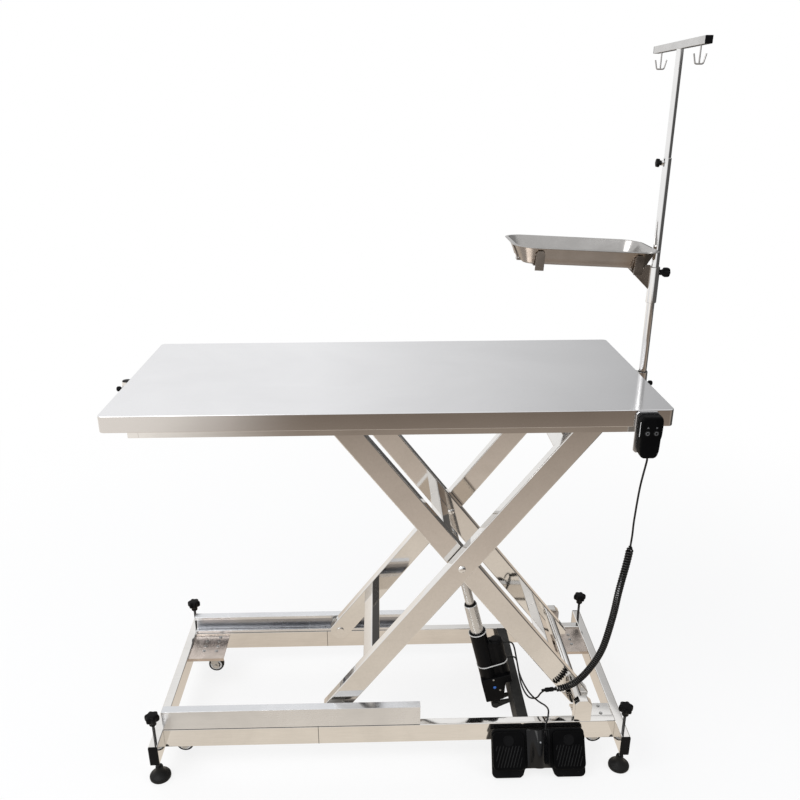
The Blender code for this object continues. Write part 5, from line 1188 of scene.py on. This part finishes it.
def make_actuator():
    """Gearbox with motor can and sleeve, the drawn guide tube and the rod with its eye."""
    place = actuator_place()
    start, end = GEARBOX
    axis = (0.0, 0.0)

    def fit(name, shape, finish, nodes=(), body="actuator", **edges):
        settle(f"actuator_{name}", moved(shape, place), finish, body, nodes, **edges)

    step = end - 0.025
    outline = [(start, SLEEVE_RADIUS), (end, SLEEVE_RADIUS), (end, -MOTOR_SIDE), (step, -MOTOR_SIDE),
               (step, -MOTOR_OFFSET), (start, -0.028)]
    block = prism(outline, "Y", -GEARBOX_HALF, GEARBOX_HALF)
    fit("gearbox", block, "black", ("actuator_housing",), ease=0.0030, segments=3)
    outline = [(start + 0.001, -TONGUE_RADIUS), (start + 0.001, TONGUE_RADIUS)]
    tongue = prism(outline + arc(axis, TONGUE_RADIUS, 90, 270, 20), "Y", -0.0105, 0.0105)
    fit("tongue", tongue, "zinc", ease=0.0006)
    sleeve = tube("X", end - 0.001, SLEEVE_END, axis, SLEEVE_RADIUS - SEAT, 0.0188)
    fit("sleeve", sleeve, "black", ease=0.0008)
    can = [(MOTOR_END + along, MOTOR_RADIUS - dip) for along, dip in MOTOR_CAN]
    can.insert(0, (end - 0.001, MOTOR_RADIUS))
    settle("motor_can", moved(turned(can, "X", (0.0, -MOTOR_OFFSET), 56), place), "black", "actuator")
    web = prism([(end - 0.001, -0.0195), (MOTOR_END - 0.004, -0.0195), (MOTOR_END - 0.004, -0.038),
                 (end - 0.001, -0.038)], "Y", -0.0165, 0.0165)
    settle("motor_web", moved(web, place), "black", "actuator", ease=0.0015)
    low, high = GUIDE
    guide = turned([(low, GUIDE_RADIUS), (high - 0.0015, GUIDE_RADIUS), (high, 0.0172), (high, GUIDE_BORE),
                    (low, GUIDE_BORE)], "X", axis, 56, ring=True)
    fit("guide_tube", guide, "aluminium", ("actuator_tube",))
    fit("wiper", tube("X", high, high + 0.004, axis, 0.0168, GUIDE_BORE), "black", ease=0.0006)
    along = (CENTRE - LOW_PIVOT).length + EYE_AHEAD
    eye_spot = leg_place("lift", LEG_ANGLE - math.pi) @ Vector((along, 0.0, 0.0))
    length = (eye_spot - Vector((joint_at["actuator_tilt"].x, 0.0, joint_at["actuator_tilt"].z))).length
    neck = length - 2 * EYE_RADIUS
    rod = turned([(ROD_START, ROD_RADIUS), (neck, ROD_RADIUS)], "X", axis, 56)
    outline = [(neck - 0.014, -0.010), (neck, -EYE_RADIUS)] + arc((length, 0.0), EYE_RADIUS, -90, 90, 24)
    outline += [(neck, EYE_RADIUS), (neck - 0.014, 0.010)]
    fit("rod_turned", together(rod, prism(outline, "Y", -0.010, 0.010)), "aluminium", ("actuator_rod",),
        "actuator_rod", ease=0.0006)
    sleeve_round = (0.0, SLEEVE_RADIUS)
    motor_round = (-MOTOR_OFFSET, MOTOR_RADIUS)
    for name, spot, wrapped in (("low", 0.146, (sleeve_round, motor_round)),
                                ("high", 0.2605, (sleeve_round,))):
        inside, outside = (wrap_outline(wrapped, clear) for clear in (0.0002, 0.0016))
        loops = [[(spot + side * STRAP_HALF_WIDTH, a, b) for a, b in ring]
                 for side, ring in ((-1, inside), (-1, outside), (1, outside), (1, inside))]
        settle(f"cable_tie_{name}", moved(loft(loops, ring=True), place), "tie", "actuator", ease=0.0003)
    profile = [(-GEARBOX_HALF - 0.0004, 0.0045), (-GEARBOX_HALF + 0.001, 0.0045)]
    dot = turned(profile, "Y", (0.073, -0.010), 32)
    fit("dot", dot, "blue", ease=0.0002)
    heads = [place @ Vector((x, -GEARBOX_HALF - 0.0002, z)) for x, z in ((0.100, -0.012), (0.060, -0.024))]
    bolts("gearbox_screws", heads, (0, -1, 0), "actuator", 0.0020, 0.0014, 18)


# Pole, sockets and their knobs
CLAMP_KNOB = ((0.0, 0.0060), (0.001, 0.0068), (0.0055, 0.0070), (0.0080, 0.0080, 0.03),
              (0.0098, 0.0102, 0.11), (0.0115, 0.0110, 0.13), (0.0180, 0.0110, 0.13), (0.0215, 0.0108, 0.13),
              (0.0240, 0.0096, 0.11), (0.0255, 0.0078, 0.06), (0.0260, 0.0040, 0.0))
POLE_X = joint_at["pole_turn"].x
SOCKET_AHEAD = 0.018       # a socket's axis, out from the table's end
SOCKET_RADIUS = 0.0125
SOCKET_BORE = 0.0098
COLLAR = ((-0.001, 0.0112), (0.0004, 0.0116), (0.0014, 0.0114), (0.0018, 0.0108))
LOWER_RADIUS = 0.0095
LOWER_BORE = 0.0083
BAR_HALF = 0.008
BAR_CORNER = 0.0012
BAR_PLUG = 0.003
HOOK_SIDE = 0.1265
HOOK_DROP = 0.036


def clamp_knob(name, node, axis_z, stud_end, bearing, length, girth=1.0):
    """Lobed clamping knob on its stud, along X."""
    sign = math.copysign(1.0, bearing - stud_end)
    profile = [(stud_end, 0.0026), (stud_end + sign * 0.0006, 0.003), (bearing + sign * 0.003, 0.003)]
    stud = turned(profile, "X", (0.0, axis_z), 24)
    settle(f"{name}_stud", stud, "zinc", body_of[node], (node,))
    scale = length / CLAMP_KNOB[-1][0]
    profile = [(bearing + sign * scale * along, girth * radius, *lobe)
               for along, radius, *lobe in CLAMP_KNOB]
    head = turned(profile, "X", (0.0, axis_z), 72)
    settle(name, head, "black", body_of[node], smooth=50)


def make_sockets():
    """A socket with a black collar and a clamping knob on each end of the table."""
    out = TABLE_END + SOCKET_AHEAD
    for name, side in ENDS:
        low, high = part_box(f"pole_socket_{name}")
        centre = (side * out, 0.0)
        mouth = high.z - (0.005 if side > 0 else 0.016)
        sleeve = tube("Z", low.z, mouth, centre, SOCKET_RADIUS, SOCKET_BORE)
        near, far = side * (TABLE_END + SEAT), side * (out - 0.0102)
        outline = [(near, -SOCKET_RADIUS), (far, -SOCKET_RADIUS), (far, SOCKET_RADIUS), (near, SOCKET_RADIUS)]
        neck = prism(outline, "Z", low.z, mouth)
        settle(f"socket_{name}", together(sleeve, neck), "polished", "table", (f"pole_socket_{name}",),
               ease=0.0008)
        inner = 0.0099 if side > 0 else 0.0010
        profile = [*COLLAR, (COLLAR[-1][0], inner), (COLLAR[0][0], inner)]
        collar = turned([(mouth + z, radius) for z, radius in profile], "Z", centre, 48, ring=True)
        settle(f"socket_collar_{name}", collar, "black", "table")
        clamp_knob(f"socket_grip_{name}", f"socket_knob_{name}", joint_at[f"turn_socket_knob_{name}"].z,
                   side * (out + SOCKET_BORE), side * (out + SOCKET_RADIUS + SEAT), 0.016, 0.55)


def make_pole():
    """Telescopic pole with its cross bar, plugs, wire hooks and clamping knob."""
    low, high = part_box("pole_lower")
    knob_z = joint_at["turn_pole_knob"].z
    profile = [(low.z, 0.0088), (low.z + 0.0006, LOWER_RADIUS), (high.z - 0.0006, LOWER_RADIUS),
               (high.z, 0.0089), (high.z, LOWER_BORE), (low.z, LOWER_BORE)]
    lower = turned(profile, "Z", (POLE_X, 0.0), 56, ring=True)
    boss = turned([(POLE_X - 0.0145, 0.0054), (POLE_X - 0.0140, 0.0060), (POLE_X - 0.0085, 0.0060)], "X",
                  (0.0, knob_z), 32)
    settle("pole_lower_tube", together(lower, boss), "pole", "pole", ("pole_lower",))
    low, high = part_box("pole_upper")
    bar_low = high.z - 2 * BAR_HALF
    upper = tube("Z", low.z, bar_low + 0.001, (POLE_X, 0.0), 0.0080, 0.0068)
    settle("pole_upper_tube", upper, "pole", "pole_top", ("pole_upper",), ease=0.0004)
    end = (high.y - low.y) / 2
    reach = end - BAR_PLUG
    centre = (POLE_X, bar_low + BAR_HALF)
    settle("cross_bar", bar("Y", -reach, reach, BAR_HALF, BAR_HALF, centre, BAR_CORNER), "bar", "pole_top",
           ease=0.0004)
    bottom = bar_low - HOOK_DROP
    prong = [(0.0135, bottom + 0.020)] + arc((0.0055, bottom + 0.004), 0.004, -10, -90, 8)
    paths = []
    for name, side in SIDES:
        cap = bar("Y", side * reach, side * end, BAR_HALF, BAR_HALF, centre, BAR_CORNER)
        settle(f"cross_bar_plug_{name}", cap, "black", "pole_top", ease=0.0008)
        y = side * HOOK_SIDE
        paths.append([(POLE_X + x, y, z) for x, z in mirrored(prong)])
        paths.append([(POLE_X, y, bottom), (POLE_X, y, bar_low + 0.001)])
    wires("wire_hooks", paths, "tray", "pole_top", 0.0017, 14)
    clamp_knob("pole_grip", "pole_knob", knob_z, POLE_X - LOWER_BORE, POLE_X - 0.0148, 0.012, 0.85)


# Instrument tray
TRAY_HEIGHT = 0.274        # the pan's floor at the pole, above the table's top
TRAY_RISE = math.radians(3.0)
TRAY_LENGTH = 0.352
TRAY_WIDTH = 0.220
TRAY_DEPTH = 0.042
TRAY_SHEET = 0.0012
TRAY_CORNER = 0.026
TRAY_GAP = 0.0175
TRAY_FLARE = 0.018
TRAY_RIM = 0.008
TRAY_KNEE = 0.0045
STRAP_SPACING = 0.235
STRAP_SHIFT = 0.003
STRAP_HALF = 0.0105
STRAP_OUT = 0.0150         # strap's inner face, out from the pan's floor
STRAP_SHEET = 0.0022
CLAMP_LENGTH = 0.0885
CLAMP_RADIUS = 0.01285
CLAMP_BORE = 0.0098


def pan_steps():
    """Section of the pan from its underside over its lip, as (out from the floor's edge, height)."""
    edge = TRAY_FLARE + TRAY_RIM
    knee = TRAY_KNEE
    sheet = TRAY_SHEET
    outside = [(-0.006, 0.0), (-0.0035, 0.0003), (-0.0015, 0.0012), (0.0, 0.003), (knee * 0.5, 0.0085),
               (knee, 0.014), (knee + 0.0014, 0.0168), (TRAY_FLARE - 0.0012, 0.0385),
               (TRAY_FLARE, TRAY_DEPTH - sheet)]
    lip = [(edge - 0.0010, TRAY_DEPTH - 2 * sheet), (edge, TRAY_DEPTH - 1.7 * sheet),
           (edge, TRAY_DEPTH - 1.2 * sheet), (edge - 0.0008, TRAY_DEPTH - sheet)]
    inside = [(TRAY_FLARE, TRAY_DEPTH), (TRAY_FLARE - sheet - 0.0008, TRAY_DEPTH - 1.6 * sheet),
              (knee + 0.0014 - sheet, 0.0172), (knee - sheet, 0.0143), (knee * 0.5 - sheet, 0.0090),
              (-sheet, 0.0042), (-0.0030, 0.0022), (-0.0050, 0.0014), (-0.0080, sheet)]
    return outside + lip + inside


def make_tray():
    """Pressed pan with a rolled rim in its strap holder, which a sleeve clamps to the pole."""
    tray_z = top_high.z + TRAY_HEIGHT
    place = Matrix.Translation((POLE_X, 0.0, tray_z)) @ Matrix.Rotation(TRAY_RISE, 4, "Y")
    floor_x = TRAY_LENGTH / 2 - TRAY_RIM - TRAY_FLARE
    floor_y = TRAY_WIDTH / 2 - TRAY_RIM - TRAY_FLARE
    middle = -TRAY_GAP - TRAY_LENGTH / 2
    pan = pressed([(-out, z) for out, z in pan_steps()], floor_x, floor_y, TRAY_CORNER, 10, (middle, 0.0))
    # The pan's outside takes a painted reflection of the warm floor.
    mark_painted_sides(settle("instrument_pan", moved(pan, place), "tray", "tray_pan", ("tray_pan",), smooth=50))
    eased("tray_holder", "strap", 0.0005)
    corners = mirrored([(-STRAP_HALF, -0.0120), (-STRAP_HALF, 0.026), (-STRAP_HALF * 0.55, 0.033)])
    for name, side in SIDES:
        for end_name, end in ENDS:
            x = middle + STRAP_SHIFT + end * STRAP_SPACING / 2
            near = side * (floor_y + STRAP_OUT)
            strap = prism([(x + a, z) for a, z in corners], "Y", near, near + side * STRAP_SHEET)
            settle(f"tray_strap_{name}_{end_name}", moved(strap, place), "strap", "tray_holder", ease=0.0005)
    top = tray_z - 0.0075
    bottom = top - CLAMP_LENGTH
    profile = [(bottom, 0.0120), (bottom + 0.0005, CLAMP_RADIUS), (top - 0.0005, CLAMP_RADIUS), (top, 0.0120),
               (top, CLAMP_BORE), (bottom, CLAMP_BORE)]
    settle("tray_sleeve", turned(profile, "Z", (POLE_X, 0.0), 56, ring=True), "pole", "tray_holder")
    knob_z = joint_at["turn_tray_knob"].z
    clamp_knob("tray_grip", "tray_knob", knob_z, POLE_X + CLAMP_BORE, POLE_X + 0.0131, 0.0254)


# Handset
CASE_HALF = [(0.45, -1.0), (0.64, -0.95), (0.76, -0.86), (0.86, -0.66), (0.89, -0.40), (0.90, -0.06),
             (0.955, 0.03), (0.985, 0.16), (1.0, 0.60), (0.99, 0.78), (0.94, 0.90), (0.84, 0.975),
             (0.66, 1.0)]
BUTTON_CAP = ((0.0005, 0.0), (0.0005, 0.0046), (0.0006, 0.0054), (0.0009, 0.0061), (0.0016, 0.0065),
              (0.0050, 0.0065))
BUTTON_RING = ((0.0008, 0.0027), (0.0, 0.0029), (0.0, 0.0043), (0.0008, 0.0045))
ARROW_ABOVE = 0.0135
ARROW_HALF = 0.0028


def make_handset():
    """Two-button handset in its sheet holder."""
    eased("handset_holder", "channel", 0.0008)
    middle, half = node_place("handset_shell")
    back = middle.y + half.y
    front = middle.y - half.y
    outline = [(0.0, -1.0)] + mirrored(CASE_HALF, [(0.0, 1.0)])
    loops = []
    for inset, y in ((0.0030, back), (0.0012, back - 0.0008), (0.0003, back - 0.0020), (0.0, back - 0.0035),
                     (0.0, front + 0.0060), (0.0006, front + 0.0036), (0.0018, front + 0.0016),
                     (0.0036, front + 0.0004), (0.0056, front)):
        loops.append([(middle.x + a * (half.x - inset), y, middle.z + b * (half.z - inset))
                      for a, b in outline])
    settle("handset_case", loft(loops), "case", "table", ("handset_shell",), smooth=55)
    # A pale wire along the case's left edge is a painted highlight.
    edge_highlight = [(middle.x - 0.985 * half.x, front + 0.0060, middle.z + share * half.z)
            for share in (0.06, 0.2, 0.4, 0.6, 0.76)]
    wires("handset_edge_highlight", [edge_highlight], "tie", "table", 0.0010, 8)
    for name, tip in (("up", 0.0026), ("down", -0.0026)):
        node = f"handset_button_{name}"
        button, size = node_place(node)
        face = button.y - size.y
        centre = (button.x, button.z)
        cap = turned([(face + y, radius) for y, radius in BUTTON_CAP], "Y", centre, 48)
        settle(f"button_cap_{name}", cap, "rubber", body_of[node], (node,))
        ring = turned([(face + y, radius) for y, radius in BUTTON_RING], "Y", centre, 40, ring=True)
        settle(f"button_ring_{name}", ring, "print", body_of[node])
        level = button.z + ARROW_ABOVE
        arrow = [(button.x - ARROW_HALF, level - tip / 2), (button.x + ARROW_HALF, level - tip / 2),
                 (button.x, level + tip)]
        settle(f"button_arrow_{name}", prism(arrow, "Y", front - 0.0003, front + 0.0006), "print", "table")


# Foot pedal
PEDAL_LEAN = math.radians(60.0)
PEDAL_WIDTH = 0.258
PEDAL_DEPTH = 0.130
PEDAL_MIDDLE_DEPTH = 0.106
PEDAL_BASE = 0.012
PEDAL_CORNER = 0.014
PEDAL_HUMP_HALF = 0.033
PEDAL_HUMP_HEIGHT = 0.032
TREADLE_TILT = math.radians(4.0)
TREADLE_DEPTH = 0.101
TREADLE_THICK = 0.009
TREADLE_CORNER = 0.015
RIB_SLANT = math.tan(math.radians(18.0))
RIB_PITCH = 0.0086
RIB_MARGIN = 0.0085
RIB_STEPS = 60
rail_front_low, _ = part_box("base_rail_front")
pedal_low, pedal_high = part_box("pedal_base")
PEDAL_FRAME = (Matrix.Translation(((pedal_low.x + pedal_high.x) / 2, rail_front_low.y - MIDDLE_Y - SEAT,
                                   PEDAL_DEPTH * math.sin(PEDAL_LEAN) + SEAT))
               @ Matrix.Rotation(PEDAL_LEAN, 4, "X"))


def make_pedal():
    """Double foot pedal: lobed base, humped housing and two ribbed treadles."""
    corner_x = PEDAL_CORNER - PEDAL_WIDTH / 2
    lobe = PEDAL_HUMP_HALF + 0.004
    left = arc((corner_x, -PEDAL_CORNER), PEDAL_CORNER, 90, 180, 6)
    left += arc((corner_x, PEDAL_CORNER - PEDAL_DEPTH), PEDAL_CORNER, 180, 270, 6)
    left += [(-lobe - PEDAL_CORNER, -PEDAL_DEPTH), (-lobe - PEDAL_CORNER * 0.45, -PEDAL_DEPTH + 0.006),
             (-lobe, -PEDAL_MIDDLE_DEPTH)]
    plate = moved(prism(mirrored(left), "Z", 0.0, PEDAL_BASE), PEDAL_FRAME)
    settle("pedal_plate", plate, "black", "base", ("pedal_base",), ease=0.0030, segments=3)
    settle("pedal_hump", moved(pedal_hump(), PEDAL_FRAME), "gloss_black", "base", ease=0.0022, segments=3,
           smooth=50)
    profile = [(PEDAL_BASE + 0.028, 0.0024), (PEDAL_BASE + 0.0325, 0.0024), (PEDAL_BASE + 0.0332, 0.0016)]
    lamp = turned(profile, "Z", (0.001, -0.030), 32)
    settle("pedal_lamp", moved(lamp, PEDAL_FRAME), "lamp", "base", ease=0.0004)
    for name, _ in ENDS:
        make_treadle(name)


def pedal_hump():
    """Housing between the treadles, highest along its middle and lower at its sides and ends."""
    depth = PEDAL_MIDDLE_DEPTH - 0.004
    loops = []
    for k in range(33):
        share = -1 + k / 16
        x = share * PEDAL_HUMP_HALF
        slope = min(1.0, max(0.0, (abs(share) - 0.08) / 0.84))
        crown = PEDAL_HUMP_HEIGHT * (1 - 0.74 * slope * slope * (3 - 2 * slope))
        inset = 0.004 * max(0.0, abs(share) - 0.9) / 0.1
        loop = [(x, -inset, PEDAL_BASE - 0.001), (x, -depth + inset, PEDAL_BASE - 0.001)]
        for step in range(25):
            swell = 0.40 + 0.60 * math.sin(math.radians(20 + 142 * step / 24))
            y = (inset - depth) * (1 - step / 24) - inset * step / 24
            loop.append((x, y, PEDAL_BASE + crown * swell))
        loops.append(loop)
    return loft(loops)


def stretches(points, keep):
    """Runs of two points or more that pass a test."""
    runs = [[]]
    for point in points:
        if keep(point):
            runs[-1].append(point)
        else:
            runs.append([])
    return [run for run in runs if len(run) > 1]


def make_treadle(name):
    """Rubber-faced treadle with slanted ribs, a smooth round pad and a raised edge."""
    node = f"treadle_{name}"
    hinge = joint_at[f"press_treadle_{name}"] - TO_FRAME
    place = Matrix.Translation(hinge) @ Matrix.Rotation(PEDAL_LEAN - TREADLE_TILT, 4, "X")
    width = (PEDAL_WIDTH / 2 - PEDAL_HUMP_HALF) - 0.004 - 0.003
    half_x, half_y = width / 2, TREADLE_DEPTH / 2
    top = TREADLE_THICK
    middle = 0.006 - half_y
    steps = ((0.0022, 0.0), (0.0008, 0.0008), (0.0, 0.0024), (0.0, top - 0.0034), (0.0007, top - 0.0014),
             (0.0022, top - 0.0006), (0.0040, top - 0.0006), (0.0052, top - 0.0016))
    pad = pressed(steps, half_x, half_y, TREADLE_CORNER, 8, (0.0, middle))
    settle(f"treadle_pad_{name}", moved(pad, place), "case", node, (node,), smooth=50)
    inner_x, inner_y = half_x - RIB_MARGIN, half_y - RIB_MARGIN
    pad_y = middle + TREADLE_DEPTH * 0.27

    def bare(spot):
        x, y = spot
        return abs(x) < inner_x and math.hypot(x, y - pad_y) > 0.0165 and y < pad_y - 0.012

    ribs = []
    for k in range(-8, 20):
        heights = [middle - inner_y + 2 * inner_y * step / RIB_STEPS for step in range(RIB_STEPS + 1)]
        line = [(-inner_x + k * RIB_PITCH + RIB_SLANT * (y - middle), y) for y in heights]
        for run in stretches(line, bare):
            ribs.append([place @ Vector((x, y, top - 0.0015)) for x, y in run])
    wires(f"treadle_ribs_{name}", ribs, "rib", node, 0.0015, 8)
    profile = [(top - 0.0022, 0.0145), (top - 0.0008, 0.0145), (top - 0.0003, 0.0138), (top - 0.0006, 0.0120),
               (top - 0.0008, 0.004)]
    button = turned(profile, "Z", (0.0, pad_y), 48)
    settle(f"treadle_button_{name}", moved(button, place), "black", node)


# Cords and their connector
CONNECTOR = mirrored([(-0.022, 0.0026), (-0.021, 0.0034), (-0.012, 0.0042), (-0.0115, 0.0060),
                      (-0.0105, 0.0064), (-0.0015, 0.0064), (-0.0010, 0.0058)])


def make_connector(plug, along):
    """Two halves of an inline connector with a groove between them."""
    turn = along.to_track_quat("X", "Z").to_matrix().to_4x4()
    shape = moved(turned(CONNECTOR, "X", (0.0, 0.0), 32), Matrix.Translation(plug) @ turn)
    return settle("inline_connector", shape, "black", "base")


def make_cords():
    """Curly handset cord with its connector, the actuator's lead and the pedal's cord."""
    low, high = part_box("handset_shell")
    x = (low.x + high.x) / 2
    lead_y = (low.y + high.y) / 2 - MIDDLE_Y
    straight = [(x, lead_y, low.z - SEAT), (x, lead_y, low.z - 0.012), (0.585, lead_y, 0.893),
                (0.5805, -0.316, 0.810), (0.5805, -0.3155, 0.767), (0.5795, -0.315, 0.738)]
    coil = [straight[-1], (0.577, -0.312, 0.694), (0.5690, -0.302, 0.603), (0.5665, -0.285, 0.512),
            (0.5575, -0.260, 0.396), (0.5375, -0.230, 0.3075), (0.512, -0.200, 0.239), (0.483, -0.181, 0.206),
            (0.4575, -0.174, 0.196)]
    plug = Vector((0.4485, -0.1735, 0.1945))
    route = smooth_path(straight, CORD_STEP)[:-1] + curl(coil) + [plug]
    curly = wires("curly_cord", [route], "cord", "base", WIRE_RADIUS, 12, ("handset_cord",))
    shade_inside(curly, in_frame(smooth_path(coil, 0.002)))
    run = plug - Vector(coil[-1])
    connector = make_connector(plug, run.normalized())
    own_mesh(curly)
    start = plug + run.normalized() * 2 * SEAT
    lead = [start, plug + run, (0.4275, -0.1685, 0.180), (0.417, -0.157, 0.152), (0.399, -0.132, 0.137),
            (0.383, -0.104, 0.158), (0.374, -0.076, 0.206), motor_point(0.183, 0.028),
            motor_point(0.200, 0.0185), motor_point(0.205, SEAT)]
    pedal = [pedal_point(0.020, SEAT, 0.028), pedal_point(0.020, 0.012, 0.028), (0.433, -0.243, 0.154),
             (0.438, -0.224, 0.165), (0.436, -0.195, 0.156), (0.422, -0.165, 0.147), (0.404, -0.130, 0.146),
             (0.390, -0.094, 0.156), (0.3805, -0.068, 0.176), motor_point(0.134, 0.0265),
             motor_point(0.1465, 0.0175), motor_point(0.150, SEAT)]
    for name, node, knots in (("motor_lead", "actuator_lead", lead), ("pedal_lead", "pedal_cord", pedal)):
        points = smooth_path(knots, CORD_STEP)
        piece = wires(name, [points], "cord", None, WIRE_RADIUS, 12, (node,))
        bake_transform(piece)


bpy.context.scene.view_settings.view_transform = "Standard"
make_camera()
make_world()
make_stage()
make_table()
make_base()
make_feet()
make_scissor()
make_actuator()
make_sockets()
make_pole()
make_tray()
make_handset()
make_pedal()
make_cords()
